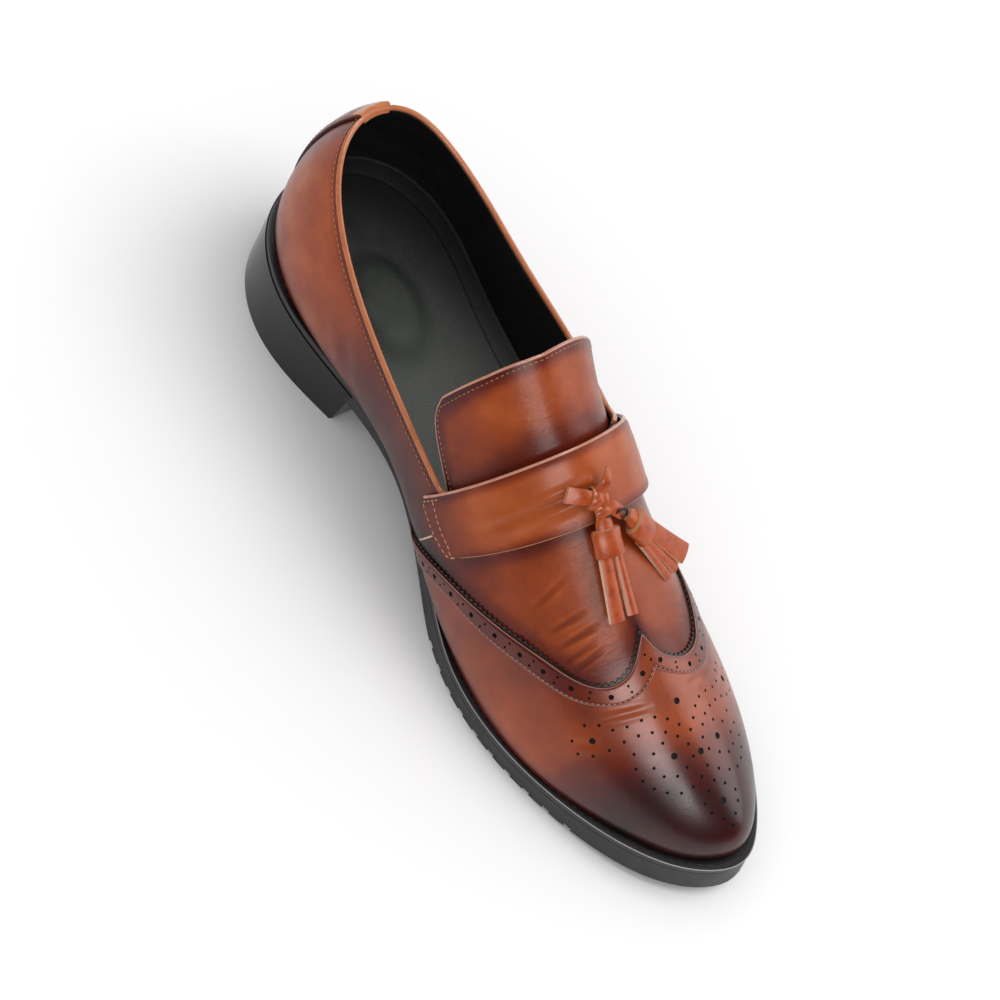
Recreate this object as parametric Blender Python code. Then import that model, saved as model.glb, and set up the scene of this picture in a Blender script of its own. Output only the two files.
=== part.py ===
"""Left tassel loafer with a winged toe, standing empty on its sole.

Lengths in the tables are millimetres in the last's own directions: u runs from the back
of the heel to the toe, x is positive to the outer side and z is up. The model itself is
in metres, with the toe towards -Y, the outer side towards +X and the floor at z = 0.
"""
import bmesh
import bpy
import numpy as np
from mathutils import Matrix, Vector

MM = 0.001
GAP = 0.3                  # clearance where two pieces meet
WALL = 2.0                 # upper leather with its lining
CENTRE_X = 4.2             # middle of the shoe's box, measured from the last's axis
CENTRE_U = 149.0
WELT_DEEP = 3.5
INSOLE_ABOVE = 2.0         # insole surface above the feather line
INSOLE_INSET = 3.2         # insole edge inside the feather line
WELT_INSET = 2.4           # inner edge of the welt inside the feather line
BREAST_U = 82.0            # front face of the heel
BREAST_RAKE = 3.0          # the heel's front leans back this much at the floor
BREAST_CLEAR = 1.0         # the heel's sides end this far behind its front
HEEL_INSET_TOP = 0.4       # heel block inside the sole edge, at the sole and at the floor
HEEL_INSET_FLOOR = 1.3
SOLE_FLARE = 1.2           # at the toe the tread's edge stands out past the welt
FLARE_START = 230.0        # it does so from here
FLARE_END = 275.0          # and fully from here
STRAP_THICK = 2.0
STRAP_ENDS = (0.330, 0.385)    # share up the side of the strap end's two corners, back and front
TONGUE_THICK = 2.0
STAY_THICK = 1.2
STAY_LOW = 0.01            # share up the heel where the back strip starts
STAY_HALF_TOP = 8.5        # half width of the back strip at the collar and at the welt
STAY_HALF_FOOT = 11.0
LUG_PITCH = 9.0            # notches along the forefoot's edge
LUG_SLOT = 3.2
LUG_DEEP = 1.4
LUG_REACH = 9.0
LUG_FIRST_U = 172.0
LUG_COUNT = 10

# Height of the feather line, where upper and welt meet. Columns: u, z.
SEAT = (
    (0, 39.5), (55, 36.5), (105, 24.5), (150, 14.5),
    (190, 11.2), (230, 12.0), (265, 15.5), (300, 21.5),
)

# Underside of the outsole. Values below the floor are cut off there, which makes the flat tread.
# Columns: u, z.
TREAD = (
    (0, 28.5), (55, 26.0), (105, 15.0), (150, 3.2),
    (175, -0.8), (205, -0.9), (235, 0.4), (265, 2.6), (300, 6.5),
)

# Centre line over the instep and down the vamp, where the two sides of the last meet.
# Columns: u, x, z.
RIDGE = (
    (20, 0, 121), (110, 0, 120), (140, 0, 111.5), (165, 0.2, 97), (185, 0.6, 85),
    (205, 1.2, 74), (230, 2.8, 61), (250, 5.2, 52), (262, 7.2, 46.5),
)

# Height of the collar on each side. Columns: u, medial, lateral.
COLLAR = (
    (0, 111, 111), (40, 95, 96), (80, 78.5, 83), (115, 67.5, 76), (150, 61, 72.5), (180, 60, 72),
)

# The throat: shares along the side where the collar starts to climb and where the vamp closes.
THROAT_START = 0.462
THROAT_END = 0.555

# One row for each section of the last, from the back of the heel to the toe.
# medial and lateral are half widths at the feather line, ridge_u is where the rib meets
# the centre line, bulge and rise shape its foot, crown its shoulder, edge the sole's ledge.
# The medial waist rolls under, and the sole is tucked in beneath it.
SECTION_COLUMNS = (
    "foot_u", "medial", "lateral", "ridge_u", "bulge_medial", "bulge_lateral", "rise",
    "crown_medial", "crown_lateral", "edge_medial", "edge_lateral",
)
SECTIONS = (
    (3.0, 0, 0, 29, 9, 9, 28, 25, 25, 3, 3),
    (9.5, 19, 18.5, 30, 9, 9, 28, 25, 24, 2.6, 3),
    (34, 32.5, 32, 40, 9, 9, 27, 29, 22, 2.4, 3),
    (72, 30.5, 32.5, 74, 16, 9, 26, 29, 29, 0, 3),
    (110, 24, 34, 111, 24, 11, 26, 30, 36, -0.9, 3.2),
    (148, 32, 38.5, 148, 16, 9, 24, 27, 34, -0.9, 3.4),
    (183, 38.5, 45, 182, 9, 5, 20, 24, 28, 3.2, 3.4),
    (208, 39.5, 48, 204, 4, 3.5, 17, 24, 25, 3, 3.2),
    (232, 35.5, 47, 225, 2.5, 2.5, 15, 22, 22, 2.6, 3.2),
    (256, 26, 41, 242, 2, 2, 14, 20, 20, 3.6, 2.8),
    (277, 13.5, 31, 253, 2, 2, 13, 19, 19, 4.5, 3),
    (289, 1.5, 21, 260, 2, 2, 13, 19, 19, 4.8, 4),
    (293.2, -11, 11, 262, 2, 2, 13, 19, 19, 5.4, 5.4),
)

# Strap edges: how far along the side (share of heel to toe) at the strap's end and over the ridge.
STRAP_BACK = (0.455, 0.515)
STRAP_FRONT = (0.534, 0.590)
STRAP_SWEEP = 1.8          # power of the edges' curve
STRAP_LIFT = 1.2           # extra height over the tongue

# Tongue: share along the side of its free edge, at its corner and over the ridge, and of its end
# under the vamp, and how far down the side it goes.
TONGUE_BACK = (0.393, 0.416)
TONGUE_CORNER = 0.04       # how far its rounded corner is cut back
TONGUE_ROUND = 8           # power that keeps the cut at the corner
TONGUE_FRONT = 0.585
TONGUE_LOW = 0.40
TONGUE_SPRING = 5.0        # its free edge stands up this much over the instep
TONGUE_SPRUNG = 0.5        # share of its length that stands up
TONGUE_DROP = 1.0          # clearance under the upper's wall

# Bow and tassels: places on the vamp as (share along the outline, share up the rib, height over the skin).
BOW_AT = (0.567, 0.99, 8.1)
BOW_SIZE = (11.0, 6.5, 4.2)
# Columns: name, neck, hem.
TASSELS = (
    ("tassel_inner", (0.588, 0.985, 6.0), (0.700, 0.93, 4.6)),
    ("tassel_outer", (1.404, 0.91, 6.3), (1.340, 0.64, 4.7)),
)
TASSEL_NECK = 3.0
TASSEL_HEM = 6.5
TASSEL_FLAT = 0.62

# Mesh fineness, with the upper's ribs closer together at the throat
RIBS = 104
RIB_ROWS = 10
RIB_COUNTED = (0.0, 0.33, 0.62, 1.0)
RIB_PLACED = (0.0, 0.43, 0.57, 1.0)
STATIONS = 40
COLUMNS = 6
SLOPE_STEP = 0.5           # half steps for measuring directions on the skin, in mm and in shares of a rib
ALONG_STEP = 0.4
UP_STEP = 0.004
POLE_SHARE = 0.985         # ribs crowd together above this share
JOIN = 1e-5                # points nearer than this, in metres, are one point
LAST_ROW = 0.999           # shares past this belong to a solid's last row
CREASE_ANGLE = 0.7         # edges sharper than this, in radians, stay sharp


class Spline:
    """Cubic spline through table rows, natural or closed on itself."""

    def __init__(self, knots, rows, closed=False):
        self.knots = np.asarray(knots, float)
        self.rows = np.asarray(rows, float).reshape(len(self.knots), -1)
        self.closed = closed
        count = len(self.knots)
        step = np.diff(self.knots)
        slope = np.diff(self.rows, axis=0) / step[:, None]
        system = np.zeros((count, count))
        right = np.zeros_like(self.rows)
        for i in range(1, count - 1):
            system[i, i - 1:i + 2] = step[i - 1], 2 * (step[i - 1] + step[i]), step[i]
            right[i] = 6 * (slope[i] - slope[i - 1])
        system[0, 0] = system[-1, -1] = 1
        if closed:
            system[0, -1] = -1
            system[-1, [0, 1, -2]] = 2 * step[0], step[0], step[-1]
            system[-1, -1] = 2 * step[-1]
            right[-1] = 6 * (slope[0] - slope[-1])
        self.bend = np.linalg.solve(system, right)

    def __call__(self, at):
        first, last = self.knots[0], self.knots[-1]
        if self.closed:
            at = (at - first) % (last - first) + first
        i = int(np.clip(np.searchsorted(self.knots, at, side="right") - 1, 0, len(self.knots) - 2))
        step = self.knots[i + 1] - self.knots[i]
        left = at - self.knots[i]
        rest = self.knots[i + 1] - at
        cubic = (self.bend[i] * rest ** 3 + self.bend[i + 1] * left ** 3) / (6 * step)
        near = (self.rows[i] / step - self.bend[i] * step / 6) * rest
        far = (self.rows[i + 1] / step - self.bend[i + 1] * step / 6) * left
        return cubic + near + far


class Last:
    """The shoe's form: a closed feather line with a rib from each of its points to the ridge."""

    def __init__(self):
        table = {name: np.array(values) for name, values in zip(SECTION_COLUMNS, zip(*SECTIONS))}
        medial = np.column_stack((-table["medial"], table["foot_u"]))
        lateral = np.column_stack((table["lateral"], table["foot_u"]))
        chords = [np.linalg.norm(np.diff(side, axis=0), axis=1) for side in (medial, lateral)]
        half = np.concatenate(([0.0], np.cumsum(sum(chords) / 2)))
        self.half = half[-1]
        self.around = 2 * self.half
        knots = np.concatenate((half, self.around - half[-2::-1]))
        inner = [table[name] for name in ("ridge_u", "bulge_medial", "rise", "crown_medial")]
        outer = [table[name] for name in ("ridge_u", "bulge_lateral", "rise", "crown_lateral")]

        def loop(inside, outside):
            return Spline(knots, np.concatenate((inside, outside[-2::-1])), closed=True)

        self.foot = loop(medial, lateral)
        self.rib_shape = loop(np.column_stack(inner), np.column_stack(outer))
        self.edge = loop(table["edge_medial"], table["edge_lateral"])
        self.seat_line = Spline(*zip(*SEAT))
        self.tread_line = Spline(*zip(*TREAD))
        self.ridge = Spline([row[0] for row in RIDGE], [row[1:] for row in RIDGE])
        self.collar = Spline([row[0] for row in COLLAR], [row[1:] for row in COLLAR])

    def seat(self, u):
        """Height of the feather line at u."""
        return float(self.seat_line(u)[0])

    def tread(self, u):
        """Height of the outsole's underside at u, never below the floor."""
        return max(0.0, float(self.tread_line(u)[0]))

    def rib(self, p, t):
        """Point at share t of the rib that starts at p along the feather line."""
        foot = self.foot(p)
        ridge_u, bulge, rise, crown = self.rib_shape(p)
        ridge_x, ridge_z = self.ridge(ridge_u)
        start = np.array((foot[0], foot[1], self.seat(foot[1])))
        end = np.array((ridge_x, ridge_u, ridge_z))
        out = (start - end)[:2]
        out = out / np.linalg.norm(out)
        rise_over = self.ridge(ridge_u + SLOPE_STEP)[1] - self.ridge(ridge_u - SLOPE_STEP)[1]
        slope = float(rise_over) / (2 * SLOPE_STEP)
        low = start + np.array((out[0] * bulge, out[1] * bulge, rise))
        high = end + crown * np.array((out[0], out[1], slope * out[1]))
        s = 1 - t
        return start * s ** 3 + 3 * low * t * s ** 2 + 3 * high * t ** 2 * s + end * t ** 3

    def normal(self, p, t):
        """Outward direction of the skin."""
        t = min(t, POLE_SHARE)
        along = self.rib(p + ALONG_STEP, t) - self.rib(p - ALONG_STEP, t)
        up = self.rib(p, t + UP_STEP) - self.rib(p, t - UP_STEP)
        out = np.cross(up, along)
        return out / np.linalg.norm(out)

    def skin(self, p, t, height):
        """Point at a height over the skin."""
        return self.rib(p, t) + height * self.normal(p, t)

    def collar_share(self, p):
        """Share of the rib at p where the collar cuts it, 1 where it reaches the ridge."""
        side = int(p % self.around > self.half)
        share = min(p, self.around - p) / self.half
        climb = float(np.clip((share - THROAT_START) / (THROAT_END - THROAT_START), 0, 1))
        if climb == 1.0:
            return 1.0
        low, high = 0.0, 1.0
        for _ in range(30):
            middle = (low + high) / 2
            point = self.rib(p, middle)
            if point[2] > self.collar(max(point[1], 0.0))[side]:
                high = middle
            else:
                low = middle
        return blend(high, 1.0, climb ** 2 * (3 - 2 * climb))

    def outline(self, p, grow):
        """Plan point of the feather line moved outwards."""
        along = self.foot(p + ALONG_STEP) - self.foot(p - ALONG_STEP)
        out = np.array((-along[1], along[0])) / np.linalg.norm(along)
        return self.foot(p) + grow * out

    def sole_edge(self, p, grow=0.0):
        """Plan point of the sole's edge."""
        return self.outline(p, float(self.edge(p)[0]) + grow)

    def p_at(self, u):
        """Place along the medial feather line that lies at u."""
        low, high = 0.0, self.half
        for _ in range(40):
            middle = (low + high) / 2
            if self.foot(middle)[1] < u:
                low = middle
            else:
                high = middle
        return low


def world(point):
    """Place in metres of a point given as x, u, z in millimetres."""
    x, u, z = point
    return Vector(((x - CENTRE_X) * MM, (CENTRE_U - u) * MM, z * MM))


def blend(first, second, share):
    """Value at a share of the way between two values."""
    return first + (second - first) * share


def leather(name, colour, roughness):
    """Plain material for one piece."""
    material = bpy.data.materials.new(name)
    material.use_nodes = True
    shader = material.node_tree.nodes["Principled BSDF"]
    shader.inputs["Base Color"].default_value = (*colour, 1.0)
    shader.inputs["Roughness"].default_value = roughness
    shader.inputs["Metallic"].default_value = 0.0
    return material


def finish(name, mesh_builder, material, parent):
    """Object made from a bmesh, smooth shaded, under the shoe's empty."""
    mesh = bpy.data.meshes.new(name)
    mesh_builder.to_mesh(mesh)
    mesh_builder.free()
    mesh.shade_smooth()
    mesh.set_sharp_from_angle(angle=CREASE_ANGLE)
    mesh.materials.append(material)
    item = bpy.data.objects.new(name, mesh)
    item.parent = parent
    bpy.context.collection.objects.link(item)
    return item


def slab(columns, rows, place):
    """Closed sheet with two faces: place(a, b, side) maps the unit square's near and far face."""
    bm = bmesh.new()
    bmesh.ops.create_grid(bm, x_segments=columns, y_segments=rows, size=0.5)
    far = bmesh.ops.extrude_face_region(bm, geom=bm.faces[:])["geom"]
    for vert in far:
        if isinstance(vert, bmesh.types.BMVert):
            vert.co.z = 1.0
    for vert in bm.verts:
        vert.co = world(place(vert.co.x + 0.5, vert.co.y + 0.5, vert.co.z))
    bmesh.ops.remove_doubles(bm, verts=bm.verts, dist=JOIN)
    bmesh.ops.recalc_face_normals(bm, faces=bm.faces)
    return bm


def loft(columns, rows, place):
    """Skin without thickness: place(a, b) maps the unit square, and edges that meet are joined."""
    bm = bmesh.new()
    bmesh.ops.create_grid(bm, x_segments=columns, y_segments=rows, size=0.5)
    for vert in bm.verts:
        vert.co = world(place(vert.co.x + 0.5, vert.co.y + 0.5))
    bmesh.ops.remove_doubles(bm, verts=bm.verts, dist=JOIN)
    return bm


def plan_slab(last, edge, low, high, p_end):
    """Solid under the foot: stations from the heel to p_end, with edge(p, side), low(u) and high(u)."""
    def place(a, b, side):
        p = a * p_end
        medial = edge(p, side)
        lateral = edge(last.around - p, side)
        x, u = blend(medial, lateral, b)
        return x, u, (high(u) if side else low(u))

    return slab(STATIONS, COLUMNS, place)


def make_outsole(last, material, parent):
    """Outsole with arch, toe spring and a row of notches along each side of the forefoot."""
    def edge(p, side):
        flare = np.interp(last.foot(p)[1], (FLARE_START, FLARE_END), (0.0, SOLE_FLARE))
        return last.sole_edge(p, grow=0.0 if side else flare)

    def high(u):
        return last.seat(u) - GAP - WELT_DEEP - GAP

    outsole = finish("outsole", plan_slab(last, edge, last.tread, high, last.half), material, parent)
    cutter = bmesh.new()
    for row in range(LUG_COUNT):
        u = LUG_FIRST_U + row * LUG_PITCH
        p = last.p_at(u)
        for start in (p, last.around - p):
            outer = last.sole_edge(start, grow=LUG_REACH)
            inner = last.sole_edge(start, grow=-LUG_REACH)
            x, middle_u = blend(inner, outer, 0.5)
            reach = np.linalg.norm(outer - inner)
            turn = np.arctan2(-(outer - inner)[1], (outer - inner)[0])
            depth = 2 * (last.tread(middle_u) + LUG_DEEP)
            box = bmesh.ops.create_cube(cutter, size=1.0)["verts"]
            shape = Matrix.Diagonal((reach * MM, LUG_SLOT * MM, depth * MM, 1.0))
            spot = Matrix.Translation(world((x, middle_u, 0.0)))
            bmesh.ops.transform(cutter, matrix=spot @ Matrix.Rotation(turn, 4, "Z") @ shape, verts=box)
    notches = finish("outsole_notches", cutter, material, parent)
    notches.hide_render = True
    notches.display_type = "WIRE"
    cut = outsole.modifiers.new("notches", "BOOLEAN")
    cut.operation = "DIFFERENCE"
    cut.object = notches
    return outsole


def make_heel(last, material, parent):
    """Heel block under the outsole, narrower at the floor, with a raked front."""
    p_end = last.p_at(BREAST_U)

    def edge(p, side):
        inset = HEEL_INSET_TOP if side else HEEL_INSET_FLOOR
        point = last.sole_edge(p, grow=-inset)
        front = BREAST_U - (0.0 if side else BREAST_RAKE)
        share = min(p, last.around - p) / p_end
        return np.array((point[0], front if share > LAST_ROW else min(point[1], front - BREAST_CLEAR)))

    def high(u):
        return last.tread(u) - GAP

    return finish("heel", plan_slab(last, edge, lambda u: 0.0, high, p_end), material, parent)


def make_insole(last, material, parent):
    """Insole inside the welt, from the outsole up to where the foot rests."""
    def edge(p, side):
        return last.outline(p, -INSOLE_INSET)

    def low(u):
        return last.seat(u) - GAP - WELT_DEEP

    def high(u):
        return last.seat(u) + INSOLE_ABOVE

    return finish("insole", plan_slab(last, edge, low, high, last.half), material, parent)


def make_welt(last, material, parent):
    """Welt: a ledge all round, under the upper's edge."""
    corners = ((0, 0), (0, 1), (1, 1), (1, 0), (0, 0))

    def place(a, b):
        p = a * last.around
        outer, top = corners[round(b * 4)]
        x, u = last.sole_edge(p, grow=-GAP) if outer else last.outline(p, -WELT_INSET)
        return x, u, last.seat(u) - GAP - (0.0 if top else WELT_DEEP)

    bm = loft(2 * STATIONS, 4, place)
    bmesh.ops.recalc_face_normals(bm, faces=bm.faces)
    return finish("welt", bm, material, parent)


def make_upper(last, material, parent):
    """Upper: the last's skin up to the collar, hollow, open above and below."""
    shares = {}

    def place(a, b):
        medial = a <= 0.5
        share = np.interp(2 * min(a, 1 - a), RIB_COUNTED, RIB_PLACED)
        p = share * last.half if medial else last.around - share * last.half
        if a not in shares:
            shares[a] = last.collar_share(p)
        return last.rib(p, b * shares[a])

    upper = finish("upper", loft(RIBS, RIB_ROWS, place), material, parent)
    wall = upper.modifiers.new("wall", "SOLIDIFY")
    wall.thickness = WALL * MM
    wall.offset = -1.0
    wall.use_even_offset = True
    return upper


def make_tongue(last, material, parent):
    """Tongue: the skin carried back over the instep, one wall lower, its end under the vamp."""
    def place(a, b, side):
        medial = a < 0.5
        rise = 1 - abs(2 * a - 1)
        t = blend(TONGUE_LOW, 1.0, rise)
        corner = TONGUE_CORNER * (1 - rise) ** TONGUE_ROUND
        share = blend(blend(*TONGUE_BACK, rise) + corner, TONGUE_FRONT, b)
        p = share * last.half
        spring = TONGUE_SPRING * rise * max(0.0, 1 - b / TONGUE_SPRUNG) ** 2
        height = spring - WALL - TONGUE_DROP - (0.0 if side else TONGUE_THICK)
        return last.skin(p if medial else last.around - p, t, height)

    return finish("tongue", slab(20, 8, place), material, parent)


def make_strap(last, material, parent):
    """Strap over the instep, lifted a little where it crosses the tongue."""
    def place(a, b, side):
        medial = a < 0.5
        rise = 1 - abs(2 * a - 1)
        t = blend(blend(*STRAP_ENDS, b), 1.0, rise)
        bend = 1 - (1 - rise) ** STRAP_SWEEP
        share = blend(blend(*STRAP_BACK, bend), blend(*STRAP_FRONT, bend), b)
        p = share * last.half
        height = GAP + STRAP_LIFT * rise ** 2 + (STRAP_THICK if side else 0.0)
        return last.skin(p if medial else last.around - p, t, height)

    return finish("strap", slab(28, 6, place), material, parent)


def make_backstay(last, material, parent):
    """Back strip from the collar down the heel."""
    top = last.collar_share(0.0)

    def place(a, b, side):
        half = blend(STAY_HALF_FOOT, STAY_HALF_TOP, b)
        p = (2 * a - 1) * half
        t = blend(STAY_LOW, top, b)
        return last.skin(p, t, GAP + (STAY_THICK if side else 0.0))

    return finish("backstay", slab(6, 12, place), material, parent)


def vamp_point(last, spot):
    """Place of a spot given as share along the outline, share up the rib and height."""
    along, up, height = spot
    return world(last.skin(along * last.half, up, height))


def vamp_normal(last, spot):
    """Outward direction over a spot of the vamp."""
    out = last.normal(spot[0] * last.half, spot[1])
    return Vector((out[0], -out[1], out[2]))


def make_bow(last, material, parent):
    """Knot of the tassel lace on the strap."""
    bm = bmesh.new()
    bmesh.ops.create_uvsphere(bm, u_segments=20, v_segments=12, radius=MM)
    out = vamp_normal(last, BOW_AT)
    side = Vector((1.0, 0.0, 0.0))
    along = out.cross(side).normalized()
    side = along.cross(out)
    turn = Matrix((side, along, out)).transposed().to_4x4()
    spot = Matrix.Translation(vamp_point(last, BOW_AT))
    bmesh.ops.transform(bm, matrix=spot @ turn @ Matrix.Diagonal((*BOW_SIZE, 1.0)), verts=bm.verts)
    return finish("bow", bm, material, parent)


def make_tassel(last, name, neck, hem, material, parent):
    """Tassel lying on the vamp: a flattened skirt that widens to its hem."""
    start = vamp_point(last, neck)
    end = vamp_point(last, hem)
    axis = (end - start).normalized()
    out = vamp_normal(last, hem)
    side = axis.cross(out).normalized()
    out = side.cross(axis)
    bm = bmesh.new()
    bmesh.ops.create_cone(bm, cap_ends=True, segments=20, radius1=TASSEL_NECK * MM,
                          radius2=TASSEL_HEM * MM, depth=(end - start).length)
    turn = Matrix((side, out, axis)).transposed().to_4x4()
    spot = Matrix.Translation((start + end) / 2)
    bmesh.ops.transform(bm, matrix=spot @ turn @ Matrix.Diagonal((1, TASSEL_FLAT, 1, 1)), verts=bm.verts)
    bmesh.ops.recalc_face_normals(bm, faces=bm.faces)
    return finish(name, bm, material, parent)


def main():
    """Build every piece of the shoe."""
    for item in list(bpy.data.objects):
        bpy.data.objects.remove(item)
    last = Last()
    shoe = bpy.data.objects.new("shoe", None)
    bpy.context.collection.objects.link(shoe)
    cognac = leather("cognac_calf", (0.26, 0.07, 0.02), 0.3)
    russet = leather("russet_lace_leather", (0.36, 0.10, 0.03), 0.45)
    rubber = leather("black_rubber", (0.012, 0.012, 0.013), 0.5)
    gloss = leather("black_heel_lacquer", (0.008, 0.008, 0.009), 0.2)
    lining = leather("black_lining", (0.01, 0.01, 0.01), 0.7)
    make_outsole(last, rubber, shoe)
    make_heel(last, gloss, shoe)
    make_welt(last, rubber, shoe)
    make_insole(last, lining, shoe)
    make_upper(last, cognac, shoe)
    make_tongue(last, cognac, shoe)
    make_strap(last, cognac, shoe)
    make_backstay(last, cognac, shoe)
    make_bow(last, russet, shoe)
    for name, neck, hem in TASSELS:
        make_tassel(last, name, neck, hem, russet, shoe)


main()
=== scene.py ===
"""Looks of a left tassel loafer with a winged, punched toe, standing empty on its sole.

Tables are in millimetres in the last's own directions: u runs from the back of the heel to
the toe, x is positive to the outer side and z is up. A share along the side runs from 0 at
the back of the heel to 1 at the toe, and a share up a rib from 0 at the welt to 1 on the ridge.
"""
from __future__ import annotations

import logging
import math
from dataclasses import dataclass
from enum import Enum
from typing import Callable, Sequence

import bmesh
import bpy
import numpy as np
from mathutils import Matrix, Vector

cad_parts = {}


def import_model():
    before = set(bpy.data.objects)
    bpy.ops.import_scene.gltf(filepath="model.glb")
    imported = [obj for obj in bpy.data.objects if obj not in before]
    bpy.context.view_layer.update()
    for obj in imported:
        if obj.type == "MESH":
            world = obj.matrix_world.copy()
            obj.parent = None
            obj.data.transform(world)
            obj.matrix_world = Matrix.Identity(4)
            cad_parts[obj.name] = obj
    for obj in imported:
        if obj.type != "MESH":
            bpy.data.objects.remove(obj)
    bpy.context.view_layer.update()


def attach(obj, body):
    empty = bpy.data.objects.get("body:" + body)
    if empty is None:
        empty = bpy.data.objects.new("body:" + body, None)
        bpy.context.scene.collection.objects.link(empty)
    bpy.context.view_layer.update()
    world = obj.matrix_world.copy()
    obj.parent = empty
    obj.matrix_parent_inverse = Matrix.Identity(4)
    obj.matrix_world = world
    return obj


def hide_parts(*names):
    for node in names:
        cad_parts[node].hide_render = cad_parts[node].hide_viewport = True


LOG = logging.getLogger("tassel_loafer")

MM = 0.001
BODY = "root"
ZONES = "zones"            # UV map that carries burnish with painted shade and painted highlight, and wrinkle, over each leather piece
JOIN = 1e-6                # points nearer than this, in metres, are one point
CREASE_ANGLE = 0.7         # edges sharper than this, in radians, stay sharp
ROUNDED_ANGLE = 0.9        # edges sharper than this are rounded
CENTRE_X = 4.2             # middle of the shoe's box, measured from the last's axis
CENTRE_U = 149.0
GAP = 0.3
WALL = 2.0
RIB_LENGTH = 95.0          # a usual rib, for turning shares into lengths
UP = (0.0, 0.0, 1.0)
CLOUDS = (0.3, 0.7)        # nearly all of a noise texture lies between these values

Array = np.ndarray
Line = tuple[np.ndarray, np.ndarray]   # points in metres and their outward directions


class Side(Enum):
    """Side of the foot."""

    MEDIAL = 0
    LATERAL = 1


class Slot(Enum):
    """Material slots of the record."""

    SOLE = "sole_rubber"
    WELT = "welt_rubber"
    HEEL = "heel_block"
    LINING = "lining"
    UPPER = "upper_leather"
    LACE = "lace_leather"


def blend(first: Array | float, second: Array | float, share: Array | float) -> Array | float:
    """Value at a share of the way between two values."""
    return first + (second - first) * share


def smooth(low: float, high: float, at: Array) -> Array:
    """Soft step from 0 at low to 1 at high."""
    share = np.clip((at - low) / (high - low), 0.0, 1.0)
    return share * share * (3 - 2 * share)


def unit(rows: Array) -> Array:
    """Rows scaled to length one."""
    return rows / np.maximum(np.linalg.norm(rows, axis=-1, keepdims=True), 1e-12)


def run_along(points: Array) -> Array:
    """Distance of each point from the first, along the line through them."""
    return np.concatenate(([0.0], np.cumsum(np.linalg.norm(np.diff(points, axis=0), axis=1))))


def to_world(points: Array) -> Array:
    """Places in metres of points given as x, u, z in millimetres."""
    points = np.asarray(points, float)
    return np.stack((points[..., 0] - CENTRE_X, CENTRE_U - points[..., 1], points[..., 2]), -1) * MM


def to_world_way(ways: Array) -> Array:
    """Directions in the model's frame of directions given as x, u, z."""
    return np.asarray(ways) * np.array((1.0, -1.0, 1.0))


class Spline:
    """Cubic spline through table rows, natural or closed on itself."""

    def __init__(self, knots: Sequence[float], rows: Sequence, closed: bool = False) -> None:
        """Solve for the bends at the knots.

        Args:
            knots: Places of the rows.
            rows: One row of values for each knot.
            closed: Whether the last row meets the first.
        """
        self.knots = np.asarray(knots, float)
        self.rows = np.asarray(rows, float).reshape(len(self.knots), -1)
        self.closed = closed
        count = len(self.knots)
        step = np.diff(self.knots)
        slope = np.diff(self.rows, axis=0) / step[:, None]
        system = np.zeros((count, count))
        right = np.zeros_like(self.rows)
        for i in range(1, count - 1):
            system[i, i - 1:i + 2] = step[i - 1], 2 * (step[i - 1] + step[i]), step[i]
            right[i] = 6 * (slope[i] - slope[i - 1])
        system[0, 0] = system[-1, -1] = 1
        if closed:
            system[0, -1] = -1
            system[-1, [0, 1, -2]] = 2 * step[0], step[0], step[-1]
            system[-1, -1] = 2 * step[-1]
            right[-1] = 6 * (slope[0] - slope[-1])
        self.bend = np.linalg.solve(system, right)

    @classmethod
    def through(cls, table: Sequence[Sequence[float]]) -> Spline:
        """Natural spline through a table whose first column holds the knots."""
        return cls([row[0] for row in table], [row[1:] for row in table])

    def __call__(self, at: Array) -> Array:
        """Rows of values at the given places."""
        at = np.atleast_1d(np.asarray(at, float))
        first, last = self.knots[0], self.knots[-1]
        if self.closed:
            at = (at - first) % (last - first) + first
        i = np.clip(np.searchsorted(self.knots, at, side="right") - 1, 0, len(self.knots) - 2)
        step = (self.knots[i + 1] - self.knots[i])[:, None]
        left = (at - self.knots[i])[:, None]
        rest = (self.knots[i + 1] - at)[:, None]
        cubic = (self.bend[i] * rest ** 3 + self.bend[i + 1] * left ** 3) / (6 * step)
        near = (self.rows[i] / step - self.bend[i] * step / 6) * rest
        far = (self.rows[i + 1] / step - self.bend[i + 1] * step / 6) * left
        return cubic + near + far


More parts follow.
